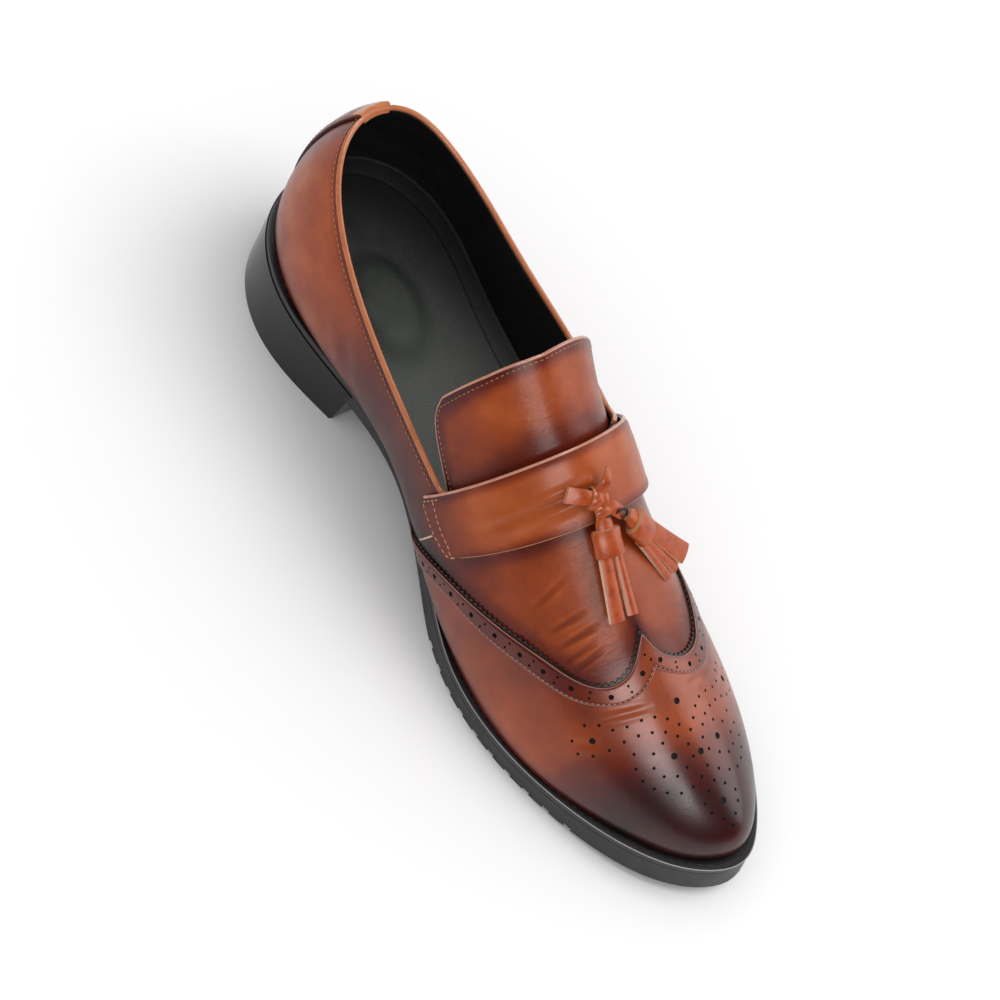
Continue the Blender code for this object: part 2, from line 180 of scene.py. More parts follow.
class Last:
    """The shoe's form: a closed feather line with a rib from each of its points to the ridge."""

    # Height of the feather line, where upper and welt meet. Columns: u, z.
    SEAT = (
        (0, 39.5), (55, 36.5), (105, 24.5), (150, 14.5),
        (190, 11.2), (230, 12.0), (265, 15.5), (300, 21.5),
    )
    # Underside of the outsole, cut off at the floor. Columns: u, z.
    TREAD = (
        (0, 28.5), (55, 26.0), (105, 15.0), (150, 3.2),
        (175, -0.8), (205, -0.9), (235, 0.4), (265, 2.6), (300, 6.5),
    )
    # Centre line over the instep and down the vamp. Columns: u, x, z.
    RIDGE = (
        (20, 0, 121), (110, 0, 120), (140, 0, 111.5), (165, 0.2, 97), (185, 0.6, 85),
        (205, 1.2, 74), (230, 2.8, 61), (250, 5.2, 52), (262, 7.2, 46.5),
    )
    # Height of the collar on each side. Columns: u, medial, lateral.
    COLLAR = (
        (0, 111, 111), (40, 95, 96), (80, 78.5, 83), (115, 67.5, 76), (150, 61, 72.5), (180, 60, 72),
    )
    THROAT_START = 0.462
    THROAT_END = 0.555
    # One row for each section of the last, from the back of the heel to the toe.
    COLUMNS = (
        "foot_u", "medial", "lateral", "ridge_u", "bulge_medial", "bulge_lateral", "rise",
        "crown_medial", "crown_lateral", "edge_medial", "edge_lateral",
    )
    SECTIONS = (
        (3.0, 0, 0, 29, 9, 9, 28, 25, 25, 3, 3),
        (9.5, 19, 18.5, 30, 9, 9, 28, 25, 24, 2.6, 3),
        (34, 32.5, 32, 40, 9, 9, 27, 29, 22, 2.4, 3),
        (72, 30.5, 32.5, 74, 16, 9, 26, 29, 29, 0, 3),
        (110, 24, 34, 111, 24, 11, 26, 30, 36, -0.9, 3.2),
        (148, 32, 38.5, 148, 16, 9, 24, 27, 34, -0.9, 3.4),
        (183, 38.5, 45, 182, 9, 5, 20, 24, 28, 3.2, 3.4),
        (208, 39.5, 48, 204, 4, 3.5, 17, 24, 25, 3, 3.2),
        (232, 35.5, 47, 225, 2.5, 2.5, 15, 22, 22, 2.6, 3.2),
        (256, 26, 41, 242, 2, 2, 14, 20, 20, 3.6, 2.8),
        (277, 13.5, 31, 253, 2, 2, 13, 19, 19, 4.5, 3),
        (289, 1.5, 21, 260, 2, 2, 13, 19, 19, 4.8, 4),
        (293.2, -11, 11, 262, 2, 2, 13, 19, 19, 5.4, 5.4),
    )
    SLOPE_STEP = 0.5           # half steps for measuring directions, in mm and in shares of a rib
    ALONG_STEP = 0.4
    UP_STEP = 0.004
    POLE_SHARE = 0.985         # ribs crowd together above this share

    def __init__(self) -> None:
        """Lay splines through the tables."""
        table = {name: np.array(values) for name, values in zip(self.COLUMNS, zip(*self.SECTIONS))}
        medial = np.column_stack((-table["medial"], table["foot_u"]))
        lateral = np.column_stack((table["lateral"], table["foot_u"]))
        chords = [np.linalg.norm(np.diff(side, axis=0), axis=1) for side in (medial, lateral)]
        half = np.concatenate(([0.0], np.cumsum(sum(chords) / 2)))
        self.half = half[-1]
        self.around = 2 * self.half
        knots = np.concatenate((half, self.around - half[-2::-1]))
        inner = [table[name] for name in ("ridge_u", "bulge_medial", "rise", "crown_medial")]
        outer = [table[name] for name in ("ridge_u", "bulge_lateral", "rise", "crown_lateral")]

        def loop(inside: Array, outside: Array) -> Spline:
            """Closed spline up one side and back down the other."""
            return Spline(knots, np.concatenate((inside, outside[-2::-1])), closed=True)

        self.foot = loop(medial, lateral)
        self.rib_shape = loop(np.column_stack(inner), np.column_stack(outer))
        self.edge = loop(table["edge_medial"], table["edge_lateral"])
        self.seat_line, self.tread_line, self.ridge, self.collar = (
            Spline.through(rows) for rows in (self.SEAT, self.TREAD, self.RIDGE, self.COLLAR))

    def seat(self, u: Array) -> Array:
        """Height of the feather line."""
        return self.seat_line(u)[:, 0]

    def tread(self, u: Array) -> Array:
        """Height of the outsole's underside, never below the floor."""
        return np.maximum(0.0, self.tread_line(u)[:, 0])

    def p(self, side: Side, share: Array) -> Array:
        """Place along the outline of a share along one side."""
        place = np.asarray(share) * self.half
        return place if side is Side.MEDIAL else self.around - place

    def p_beside(self, medial: Array, share: Array) -> Array:
        """Places along the outline of shares along the side that a mask tells."""
        return np.where(medial, share * self.half, self.around - share * self.half)

    def share(self, p: Array) -> Array:
        """Share along the side of a place along the outline."""
        p = np.asarray(p) % self.around
        return np.minimum(p, self.around - p) / self.half

    def rib(self, p: Array, t: Array) -> Array:
        """Points at share t of the ribs that start at p along the feather line."""
        p, t = np.broadcast_arrays(np.atleast_1d(np.asarray(p, float)), np.asarray(t, float))
        foot = self.foot(p)
        ridge_u, bulge, rise, crown = self.rib_shape(p).T
        ridge = self.ridge(ridge_u)
        start = np.column_stack((foot, self.seat(foot[:, 1])))
        end = np.column_stack((ridge[:, 0], ridge_u, ridge[:, 1]))
        out = unit((start - end)[:, :2])
        over = self.ridge(ridge_u + self.SLOPE_STEP)[:, 1] - self.ridge(ridge_u - self.SLOPE_STEP)[:, 1]
        slope = over / (2 * self.SLOPE_STEP)
        low = start + np.column_stack((out * bulge[:, None], rise))
        high = end + crown[:, None] * np.column_stack((out, slope * out[:, 1]))
        t = t[:, None]
        s = 1 - t
        return start * s ** 3 + 3 * low * t * s ** 2 + 3 * high * t ** 2 * s + end * t ** 3

    def normal(self, p: Array, t: Array) -> Array:
        """Outward directions of the skin."""
        t = np.minimum(t, self.POLE_SHARE)
        along = self.rib(p + self.ALONG_STEP, t) - self.rib(p - self.ALONG_STEP, t)
        up = self.rib(p, t + self.UP_STEP) - self.rib(p, t - self.UP_STEP)
        return unit(np.cross(up, along))

    def skin(self, p: Array, t: Array, height: Array = 0.0) -> Array:
        """Points at a height over the skin."""
        p, t, height = np.broadcast_arrays(np.atleast_1d(np.asarray(p, float)), t, height)
        return self.rib(p, t) + height[:, None] * self.normal(p, t)

    def collar_share(self, p: Array) -> Array:
        """Share of the ribs where the collar cuts them, 1 where they reach the ridge."""
        p = np.atleast_1d(np.asarray(p, float))
        side = (p % self.around > self.half).astype(int)
        climb = smooth(self.THROAT_START, self.THROAT_END, self.share(p))
        low, high = np.zeros_like(p), np.ones_like(p)
        for _ in range(26):
            middle = (low + high) / 2
            point = self.rib(p, middle)
            limit = self.collar(np.maximum(point[:, 1], 0.0))[np.arange(len(p)), side]
            over = point[:, 2] > limit
            high = np.where(over, middle, high)
            low = np.where(over, low, middle)
        return blend(high, 1.0, climb)

    def outline(self, p: Array, grow: Array) -> Array:
        """Plan points of the feather line moved outwards."""
        along = self.foot(p + self.ALONG_STEP) - self.foot(p - self.ALONG_STEP)
        out = unit(np.column_stack((-along[:, 1], along[:, 0])))
        return self.foot(p) + np.reshape(grow, (-1, 1)) * out

    def sole_edge(self, p: Array, grow: Array = 0.0) -> Array:
        """Plan points of the sole's edge."""
        return self.outline(p, self.edge(p)[:, 0] + grow)

    def p_at(self, u: float) -> float:
        """Place along the medial feather line that lies at u."""
        low, high = 0.0, self.half
        for _ in range(40):
            middle = (low + high) / 2
            if self.foot(middle)[0, 1] < u:
                low = middle
            else:
                high = middle
        return low


def linear(colour: str) -> tuple[float, float, float, float]:
    """Linear colour of an sRGB hex value."""
    values = [int(colour[i:i + 2], 16) / 255 for i in (1, 3, 5)]
    return (*(v / 12.92 if v <= 0.04045 else ((v + 0.055) / 1.055) ** 2.4 for v in values), 1.0)


def per_metre(size: float) -> float:
    """Texture scale that gives features of a size in millimetres."""
    return 1.0 / (size * MM)


def fill(tree: bpy.types.NodeTree, node: bpy.types.Node, inputs: dict) -> None:
    """Fill or link a node's inputs.

    Args:
        tree: Tree that holds the node.
        node: The node.
        inputs: Values or sockets by input name or number.
    """
    for name, value in inputs.items():
        if isinstance(value, bpy.types.NodeSocket):
            tree.links.new(value, node.inputs[name])
        else:
            node.inputs[name].default_value = value


def add_node(tree: bpy.types.NodeTree, kind: str, inputs: dict | None = None,
             **settings: str) -> bpy.types.Node:
    """Add a node, set its options, and fill or link its inputs.

    Args:
        tree: Tree that takes the node.
        kind: Node type.
        inputs: Values or sockets by input name or number.
        settings: Options of the node.

    Returns:
        The node.
    """
    item = tree.nodes.new(kind)
    for name, value in settings.items():
        setattr(item, name, value)
    fill(tree, item, inputs or {})
    return item


def new_material(name: str) -> tuple[bpy.types.Material, bpy.types.NodeTree, bpy.types.Node]:
    """Empty node material with its tree and its shader."""
    material = bpy.data.materials.new(name)
    material.use_nodes = True
    tree = material.node_tree
    return material, tree, tree.nodes["Principled BSDF"]


@dataclass(frozen=True)
class BurnishedCalf:
    """Aniline calf, waxed and burnished by hand: a deep glossy coat over colour that darkens in places."""

    name: str
    colours: tuple[tuple[float, str], ...]         # value of the zones map, burnish with painted shade and highlight, and the colour that it gives
    roughness: tuple[float, float] = (0.28, 0.38)
    coat: float = 0.12
    dulled: float = 0.08       # how much rougher creased leather is
    mottle: float = 14.0       # size of the cloudy hand colouring, in mm
    mottled: float = 0.34      # how far the clouds shift the burnish
    grain: float = 0.9         # size of the pores in mm, drawn coarser than life so that they show
    wrinkle: float = 1.6       # size of the fine creases across the vamp, in mm
    folded: float = 0.5        # depth of those creases, in mm
    drawn: tuple[float, float, float] = (0.22, 1.0, 0.5)   # the creases run across the foot
    ior: float = 1.32

    def material(self) -> bpy.types.Material:
        """Node material that reads burnish, painted shade and painted highlight, and wrinkle from the zones
        map.
        """
        material, tree, shader = new_material(self.name)
        place = add_node(tree, "ShaderNodeTexCoord").outputs["Object"]
        zones = add_node(tree, "ShaderNodeUVMap", uv_map=ZONES)
        zone = add_node(tree, "ShaderNodeSeparateXYZ", {"Vector": zones.outputs["UV"]})
        cloud = add_node(tree, "ShaderNodeTexNoise", {
            "Vector": place, "Scale": per_metre(self.mottle), "Detail": 5.0, "Roughness": 0.6})
        shift = add_node(tree, "ShaderNodeMath", {
            0: cloud.outputs["Fac"], 1: self.mottled, 2: -self.mottled / 2}, operation="MULTIPLY_ADD")
        shade = add_node(tree, "ShaderNodeMath", {
            0: zone.outputs["X"], 1: shift.outputs[0]}, operation="ADD")
        ramp = add_node(tree, "ShaderNodeValToRGB", {"Fac": shade.outputs[0]})
        first, last = ramp.color_ramp.elements
        first.position, first.color = self.colours[0][0], linear(self.colours[0][1])
        last.position, last.color = self.colours[-1][0], linear(self.colours[-1][1])
        for spot, colour in self.colours[1:-1]:
            ramp.color_ramp.elements.new(spot).color = linear(colour)
        polish = add_node(tree, "ShaderNodeMapRange", {
            "Value": cloud.outputs["Fac"], "From Min": CLOUDS[0], "From Max": CLOUDS[1],
            "To Min": self.roughness[0], "To Max": self.roughness[1]})
        gloss = add_node(tree, "ShaderNodeMath", {
            0: zone.outputs["Y"], 1: self.dulled, 2: polish.outputs[0]}, operation="MULTIPLY_ADD")
        drawn = add_node(tree, "ShaderNodeVectorMath", {0: place, 1: self.drawn}, operation="MULTIPLY")
        crease = add_node(tree, "ShaderNodeTexNoise", {
            "Vector": drawn.outputs[0], "Scale": per_metre(self.wrinkle), "Detail": 3.0, "Distortion": 0.6})
        folded = add_node(tree, "ShaderNodeMath", {
            0: crease.outputs["Fac"], 1: zone.outputs["Y"]}, operation="MULTIPLY")
        wrinkled = add_node(tree, "ShaderNodeBump", {
            "Height": folded.outputs[0], "Strength": 0.6, "Distance": self.folded * MM})
        pores = add_node(tree, "ShaderNodeTexNoise", {
            "Vector": place, "Scale": per_metre(self.grain), "Detail": 2.0})
        grained = add_node(tree, "ShaderNodeBump", {
            "Height": pores.outputs["Fac"], "Strength": 0.2, "Distance": 0.15 * MM,
            "Normal": wrinkled.outputs["Normal"]})
        fill(tree, shader, {
            "Base Color": ramp.outputs["Color"], "Roughness": gloss.outputs[0],
            "Normal": grained.outputs["Normal"], "IOR": self.ior,
            "Coat Weight": self.coat, "Coat Roughness": 0.2, "Coat IOR": 1.35})
        return material


@dataclass(frozen=True)
class PlainFinish:
    """A finish of one colour family with a cloudy tint and a fine raised grain."""

    name: str
    light: str
    dark: str
    roughness: float
    grain: float               # size of the raised grain, in mm
    relief: float              # strength of the grain
    cloud: float = 8.0         # size of the tint's clouds, in mm
    coat: float = 0.0
    ior: float = 1.4
    zoned: bool = False        # whether the zones map chooses between dark and light

    def material(self) -> bpy.types.Material:
        """Node material on object coordinates."""
        material, tree, shader = new_material(self.name)
        place = add_node(tree, "ShaderNodeTexCoord").outputs["Object"]
        cloud = add_node(tree, "ShaderNodeTexNoise", {
            "Vector": place, "Scale": per_metre(self.cloud), "Detail": 4.0})
        share = cloud.outputs["Fac"]
        if self.zoned:
            zones = add_node(tree, "ShaderNodeUVMap", uv_map=ZONES)
            share = add_node(tree, "ShaderNodeSeparateXYZ", {"Vector": zones.outputs["UV"]}).outputs["X"]
        # Inputs 6 and 7 are the mix node's two colours.
        tint = add_node(tree, "ShaderNodeMix", {
            "Factor": share, 6: linear(self.dark), 7: linear(self.light)}, data_type="RGBA")
        grit = add_node(tree, "ShaderNodeTexNoise", {
            "Vector": place, "Scale": per_metre(self.grain), "Detail": 2.0})
        raised = add_node(tree, "ShaderNodeBump", {
            "Height": grit.outputs["Fac"], "Strength": self.relief, "Distance": 0.3 * MM})
        gloss = add_node(tree, "ShaderNodeMapRange", {
            "Value": cloud.outputs["Fac"], "From Min": CLOUDS[0], "From Max": CLOUDS[1],
            "To Min": self.roughness * 0.85, "To Max": min(1.0, self.roughness * 1.15)})
        fill(tree, shader, {
            "Base Color": tint.outputs[2], "Roughness": gloss.outputs[0],
            "Normal": raised.outputs["Normal"], "IOR": self.ior,
            "Coat Weight": self.coat, "Coat Roughness": 0.1, "Coat IOR": 1.4})
        return material


class Finishes:
    """Every finish on the shoe."""

    def __init__(self) -> None:
        """Make the materials."""
        # Cognac calf: tan where the wax is thin, oxblood and nearly black where it is burnished and where
        # shade is painted.
        colours = ((0.0, "#ba5e29"), (0.22, "#963e12"), (0.45, "#6c2207"),
                   (0.65, "#52130e"), (0.85, "#34090a"), (1.0, "#1c0506"))
        self.calf = BurnishedCalf("burnished_cognac_calf", colours).material()
        # Toe cap: the same calf polished with more wax, so that it mirrors a soft light.
        self.polished = BurnishedCalf("wax_polished_calf", colours, (0.26, 0.34), 0.15, 0.1,
                                      folded=0.12, ior=1.45).material()
        # Lace leather: russet, lightly waxed, cut from a thinner hide with a drier surface.
        self.lace = PlainFinish("russet_lace_leather", "#c4571c", "#7e2806", 0.3, 0.8, 0.2,
                                cloud=4.0, ior=1.45).material()
        # Raw edge: the pale fibrous middle of the hide where a knife cut it.
        self.raw = PlainFinish("raw_leather_edge", "#ecd2b4", "#c99f78", 0.8, 0.4, 0.4).material()
        # Cut edge of dyed leather: the dye has run into the fibre.
        self.cut = PlainFinish("dyed_cut_edge", "#c58a5a", "#99592e", 0.6, 0.4, 0.3).material()
        # Folded edges: calf stretched thin and tan round the collar, lightened there in part as a painted
        # highlight; pale rose on strap and tongue, a painted highlight along the roll.
        self.bead = PlainFinish("stretched_tan_calf_with_sheen", "#c87c50", "#a2542b", 0.28, 0.8, 0.1,
                                coat=0.3).material()
        # Painted highlight: the rolled edges of strap and tongue are coloured pale rose.
        self.roll = PlainFinish("rolled_edge_painted_highlight", "#d3a08a", "#a5614a", 0.28, 0.8, 0.1,
                                coat=0.3).material()
        # Rolled borders of the band: dusty rose, paler than the band.
        self.rose = PlainFinish("dusty_rose_band_edge", "#a86a58", "#83463a", 0.4, 0.6, 0.2).material()
        # Linen thread and cord, waxed: tan or beige on the upper, brown in the loops, black on the welt.
        self.thread = PlainFinish("waxed_tan_thread", "#d6a27c", "#b87c54", 0.6, 0.3, 0.5).material()
        self.band_thread = PlainFinish("waxed_beige_thread", "#b59a88", "#8d6f60", 0.6, 0.3, 0.5).material()
        self.cord = PlainFinish("waxed_brown_cord", "#3a1a12", "#220d09", 0.5, 0.3, 0.5).material()
        self.welt_thread = PlainFinish("waxed_black_thread", "#2a2727", "#1a1818", 0.6, 0.3, 0.5).material()
        # Moulded rubber: dull charcoal with a fine eggshell texture from the mould; the ledge's upward
        # faces are painted blacker as shade.
        self.rubber = PlainFinish("moulded_black_rubber", "#333132", "#272526", 0.45, 0.6, 0.25).material()
        self.welt = PlainFinish("welt_top_painted_shade", "#1a1414", "#120d0d", 0.45, 0.7, 0.25).material()
        # Painted highlight: a bright grey line along the welt's outer corner.
        self.welt_glint = PlainFinish("welt_corner_painted_highlight", "#a9a7a6", "#8a8887", 0.35, 0.6, 0.1).material()
        # Heel stack under black lacquer: smooth and glossy.
        self.heel = PlainFinish("black_heel_lacquer", "#0e0e0f", "#09090a", 0.16, 2.0, 0.02,
                                ior=1.27).material()
        # Lining: black pigskin with a soft dull grain.
        self.lining = PlainFinish("black_pigskin_lining", "#1e1e1d", "#141413", 0.6, 0.9, 0.35).material()
        # Sock: grey leather, painted with shade that turns it nearly black towards the heel.
        self.sock = PlainFinish("grey_leather_sock", "#a9aea9", "#1e231e", 0.7, 0.9, 1.0,
                                zoned=True).material()
        # Punched hole: the shadowed cut fibre and black backing seen down the hole.
        self.hole = PlainFinish("punched_hole_shadow", "#140807", "#0a0404", 0.9, 0.5, 0.2).material()
        # Gimped strip: thin black calf, its teeth cut by a pinking die.
        self.gimp = PlainFinish("dark_gimped_calf", "#33231c", "#1c110d", 0.35, 0.7, 0.2).material()


def map_grid(bm: bmesh.types.BMesh, place: Callable, zones: Callable | None) -> None:
    """Move a unit grid's points onto the shoe and keep its zones.

    Args:
        bm: Grid between 0 and 1 in x and y, with its layer in z.
        place: Function of two shares and a layer that gives points in millimetres.
        zones: Function of two shares that gives burnish and wrinkle.
    """
    flat = np.array([vert.co[:] for vert in bm.verts])
    a, b, layer = flat[:, 0] + 0.5, flat[:, 1] + 0.5, flat[:, 2]
    bm.verts.index_update()
    if zones is not None:
        values = np.column_stack(np.broadcast_arrays(*zones(a, b), a)[:2])
        uv = bm.loops.layers.uv.new(ZONES)
        for face in bm.faces:
            for loop in face.loops:
                loop[uv].uv = values[loop.vert.index]
    for vert, point in zip(bm.verts, to_world(place(a, b, layer))):
        vert.co = point


def patch(columns: int, rows: int, place: Callable, zones: Callable | None = None) -> bmesh.types.BMesh:
    """Skin without thickness, mapped from a grid; edges that meet are joined.

    Args:
        columns: Faces along the first share.
        rows: Faces along the second share.
        place: Function of two shares that gives points in millimetres.
        zones: Function of two shares that gives burnish and wrinkle.

    Returns:
        The mesh.
    """
    bm = bmesh.new()
    bmesh.ops.create_grid(bm, x_segments=columns, y_segments=rows, size=0.5)
    map_grid(bm, lambda a, b, layer: place(a, b), zones)
    bmesh.ops.remove_doubles(bm, verts=bm.verts, dist=JOIN)
    return bm


def slab(columns: int, rows: int, place: Callable, zones: Callable | None = None,
         ridge: bool = False) -> bmesh.types.BMesh:
    """Closed sheet with two faces and a rim of the second material.

    Args:
        columns: Faces along the first share.
        rows: Faces along the second share.
        place: Function of two shares and a layer, 0 below and 1 above.
        zones: Function of two shares that gives burnish and wrinkle.
        ridge: Whether the far edge folds onto itself and is joined there.

    Returns:
        The mesh.
    """
    bm = bmesh.new()
    bmesh.ops.create_grid(bm, x_segments=columns, y_segments=rows, size=0.5)
    for part in bmesh.ops.extrude_face_region(bm, geom=bm.faces[:])["geom"]:
        if isinstance(part, bmesh.types.BMVert):
            part.co.z = 1.0
    inner_walls = []
    for face in bm.faces:
        layers = [vert.co.z for vert in face.verts]
        face.material_index = int(min(layers) != max(layers))
        if ridge and face.material_index and min(vert.co.y for vert in face.verts) > 0.5 - 1e-6:
            inner_walls.append(face)
    bmesh.ops.delete(bm, geom=inner_walls, context="FACES_ONLY")
    map_grid(bm, place, zones)
    bmesh.ops.remove_doubles(bm, verts=bm.verts, dist=JOIN)
    bmesh.ops.recalc_face_normals(bm, faces=bm.faces)
    return bm


def tube(path: Array, normals: Array, radii: Array | float, sides: int = 10,
         flat: float = 1.0) -> bmesh.types.BMesh:
    """Closed tube along a path in the model's frame.

    Args:
        path: Points in metres.
        normals: Direction at each point that the tube's height follows.
        radii: Radius at each point, in metres.
        sides: Faces around it.
        flat: Height of the section for a width of one.

    Returns:
        The mesh.
    """
    tangent = unit(np.gradient(path, axis=0))
    across = unit(np.cross(tangent, normals))
    out = np.cross(across, tangent)
    radii = np.broadcast_to(radii, len(path))
    bm = bmesh.new()
    bmesh.ops.create_grid(bm, x_segments=len(path) - 1, y_segments=sides, size=0.5)
    for vert in bm.verts:
        i = round((vert.co.x + 0.5) * (len(path) - 1))
        turn = 2 * math.pi * (vert.co.y + 0.5)
        ring = math.cos(turn) * across[i] + flat * math.sin(turn) * out[i]
        vert.co = path[i] + radii[i] * ring
    bmesh.ops.remove_doubles(bm, verts=bm.verts, dist=JOIN)
    bmesh.ops.holes_fill(bm, edges=[edge for edge in bm.edges if edge.is_boundary])
    bmesh.ops.recalc_face_normals(bm, faces=bm.faces)
    return bm


def resample(path: Array, normals: Array, pitch: float) -> tuple[Array, Array, Array]:
    """Even places along a path.

    Args:
        path: Points in metres.
        normals: Direction at each point.
        pitch: Wanted spacing in metres.

    Returns:
        Points, tangents and normals, one row for each place.
    """
    steps = run_along(path)
    count = max(1, int(round(steps[-1] / pitch)))
    spots = (np.arange(count) + 0.5) * steps[-1] / count
    way = unit(np.gradient(path, axis=0))
    points, ways, out = (np.column_stack([np.interp(spots, steps, column) for column in rows.T])
                         for rows in (path, way, normals))
    return points, unit(ways), unit(out)


def scatter(pattern: bmesh.types.BMesh, frames: Array) -> bpy.types.Mesh:
    """One joined mesh of many copies of a small pattern.

    Args:
        pattern: Mesh to copy.
        frames: One 4 by 4 matrix for each copy.

    Returns:
        The mesh.
    """
    bmesh.ops.triangulate(pattern, faces=pattern.faces[:])
    pattern.verts.index_update()
    points = np.array([(*vert.co, 1.0) for vert in pattern.verts])
    faces = np.array([[vert.index for vert in face.verts] for face in pattern.faces])
    pattern.free()
    placed = np.einsum("nij,kj->nki", frames, points)[..., :3].reshape(-1, 3)
    linked = (faces[None] + len(points) * np.arange(len(frames))[:, None, None]).reshape(-1, 3)
    mesh = bpy.data.meshes.new("scattered")
    mesh.from_pydata(placed.tolist(), [], linked.tolist())
    return mesh


def frames_on(spots: Array, ways: Array, normals: Array, size: tuple[float, float, float]) -> Array:
    """Matrices that lay a unit pattern along each way, with its height along the normal.

    Args:
        spots: Places in metres.
        ways: Directions along the pattern.
        normals: Directions of its height.
        size: Length, width and height in millimetres.

    Returns:
        One 4 by 4 matrix for each spot.
    """
    across = unit(np.cross(normals, ways))
    ways = np.cross(across, normals)
    frames = np.zeros((len(spots), 4, 4))
    for column, (direction, length) in enumerate(zip((ways, across, normals), size)):
        frames[:, :3, column] = direction * length * MM
    frames[:, :3, 3] = spots
    frames[:, 3, 3] = 1.0
    return frames


def dress(name: str, shape: bmesh.types.BMesh | bpy.types.Mesh, materials: Sequence[bpy.types.Material],
          nodes: Sequence[str] = ()) -> bpy.types.Object:
    """Make a piece of the shoe from a mesh and set it on its body.

    Args:
        name: Name of the piece.
        shape: Its mesh.
        materials: Finishes in the order of the mesh's material numbers.
        nodes: CAD nodes that it stands for.

    Returns:
        The object.
    """
    if isinstance(shape, bmesh.types.BMesh):
        mesh = bpy.data.meshes.new(name)
        shape.to_mesh(mesh)
        shape.free()
    else:
        mesh = shape
        mesh.name = name
    mesh.shade_smooth()
    mesh.set_sharp_from_angle(angle=CREASE_ANGLE)
    for material in materials:
        mesh.materials.append(material)
    item = bpy.data.objects.new(name, mesh)
    bpy.context.collection.objects.link(item)
    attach(item, BODY)
    if nodes:
        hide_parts(*nodes)
    LOG.info("%s: %d faces", name, len(mesh.polygons))
    return item


def round_edges(item: bpy.types.Object, width: float) -> None:
    """Soften a piece's sharp edges.

    Args:
        item: The piece.
        width: Width of the rounding, in mm.
    """
    bevel = item.modifiers.new("rounded edges", "BEVEL")
    bevel.affect = "EDGES"
    bevel.width = width * MM
    bevel.segments = 3
    bevel.profile = 0.5
    bevel.limit_method = "ANGLE"
    bevel.angle_limit = ROUNDED_ANGLE
    bevel.material = -1


def thicken(item: bpy.types.Object, wall: float) -> None:
    """Give a skin a wall on its inner side.

    Args:
        item: The skin.
        wall: Thickness in mm.
    """
    solid = item.modifiers.new("wall", "SOLIDIFY")
    solid.thickness = wall * MM
    solid.offset = -1.0


def join(parts: Sequence[bmesh.types.BMesh]) -> bmesh.types.BMesh:
    """One mesh of several, which are used up."""
    whole = bmesh.new()
    for part in parts:
        mesh = bpy.data.meshes.new("part")
        part.to_mesh(mesh)
        part.free()
        whole.from_mesh(mesh)
        bpy.data.meshes.remove(mesh)
    return whole


def piping(name: str, line: Line, radius: float, finish: bpy.types.Material,
           sides: int = 10) -> None:
    """Make a round piece along a line, its radius in millimetres."""
    dress(name, tube(*line, radius * MM, sides), [finish])


def on_sheet(place: Callable, a: Array, b: Array, layer: float = 1.0) -> Line:
    """Line drawn on one layer of a sheet through shares along and across it."""
    top = place(a, b, np.full_like(a, layer))
    return to_world(top), unit(to_world_way(top - place(a, b, np.zeros_like(a))))


def punch(item: bpy.types.Object, cutters: bpy.types.Mesh, hole: bpy.types.Material) -> None:
    """Cut holes into a piece and keep the result as its mesh.

    Args:
        item: Piece to cut.
        cutters: Closed pins, one for each hole.
        hole: Finish inside the holes.
    """
    cutters.materials.append(hole)
    tool = bpy.data.objects.new("punch", cutters)
    bpy.context.collection.objects.link(tool)
    cut = item.modifiers.new("holes", "BOOLEAN")
    cut.operation = "DIFFERENCE"
    cut.solver = "EXACT"
    cut.object = tool
    cut.material_mode = "TRANSFER"
    scene_state = bpy.context.evaluated_depsgraph_get()
    mesh = bpy.data.meshes.new_from_object(item.evaluated_get(scene_state))
    item.modifiers.clear()
    old = item.data
    item.data = mesh
    bpy.data.meshes.remove(old)
    bpy.data.objects.remove(tool)
    mesh.shade_smooth()
    mesh.set_sharp_from_angle(angle=CREASE_ANGLE)


def pin(sides: int) -> bmesh.types.BMesh:
    """Unit pin for punching: radius one, from one below to one above."""
    bm = bmesh.new()
    bmesh.ops.create_cone(bm, cap_ends=True, segments=sides, radius1=1.0, radius2=1.0, depth=2.0)
    return bm


def stitch() -> bmesh.types.BMesh:
    """Unit stitch: a small drop, one half long each way."""
    bm = bmesh.new()
    bmesh.ops.create_uvsphere(bm, u_segments=6, v_segments=4, radius=0.5)
    bmesh.ops.rotate(bm, verts=bm.verts, cent=(0, 0, 0), matrix=Matrix.Rotation(math.pi / 2, 3, "Y"))
    return bm


@dataclass(frozen=True)
class Sewing:
    """A row of stitches in millimetres."""

    pitch: float = 2.7
    length: float = 2.1
    width: float = 0.55
    height: float = 0.5

    def sew(self, name: str, lines: Sequence[Line], thread: bpy.types.Material, slot: Slot) -> None:
        """Lay stitches along lines, as one piece."""
        size = (self.length, self.width, self.height)
        frames = [frames_on(*resample(*line, self.pitch * MM), size) for line in lines]
        dress(name, scatter(stitch(), np.concatenate(frames)), [thread])


@dataclass(frozen=True)
class Crease:
    """Soft trough between two places on the skin, with a low ridge on each side."""

    start: tuple[float, float]     # share along the side, share up the rib
    end: tuple[float, float]
    depth: float
    width: float

    def height(self, share: Array, t: Array, half: float) -> Array:
        """Height that the crease adds, in millimetres."""
        scale = np.array((half, RIB_LENGTH))
        start = np.array(self.start) * scale
        way = np.array(self.end) * scale - start
        spot = np.column_stack((share, t)) * scale - start
        along = np.clip(spot @ way / (way @ way), 0.0, 1.0)
        away = np.linalg.norm(spot - along[:, None] * way, axis=1) / self.width
        taper = np.sin(np.pi * np.clip(0.06 + 0.88 * along, 0, 1))
        return self.depth * taper * (0.55 * np.exp(-((away - 1.7) / 0.8) ** 2) - np.exp(-away ** 2))


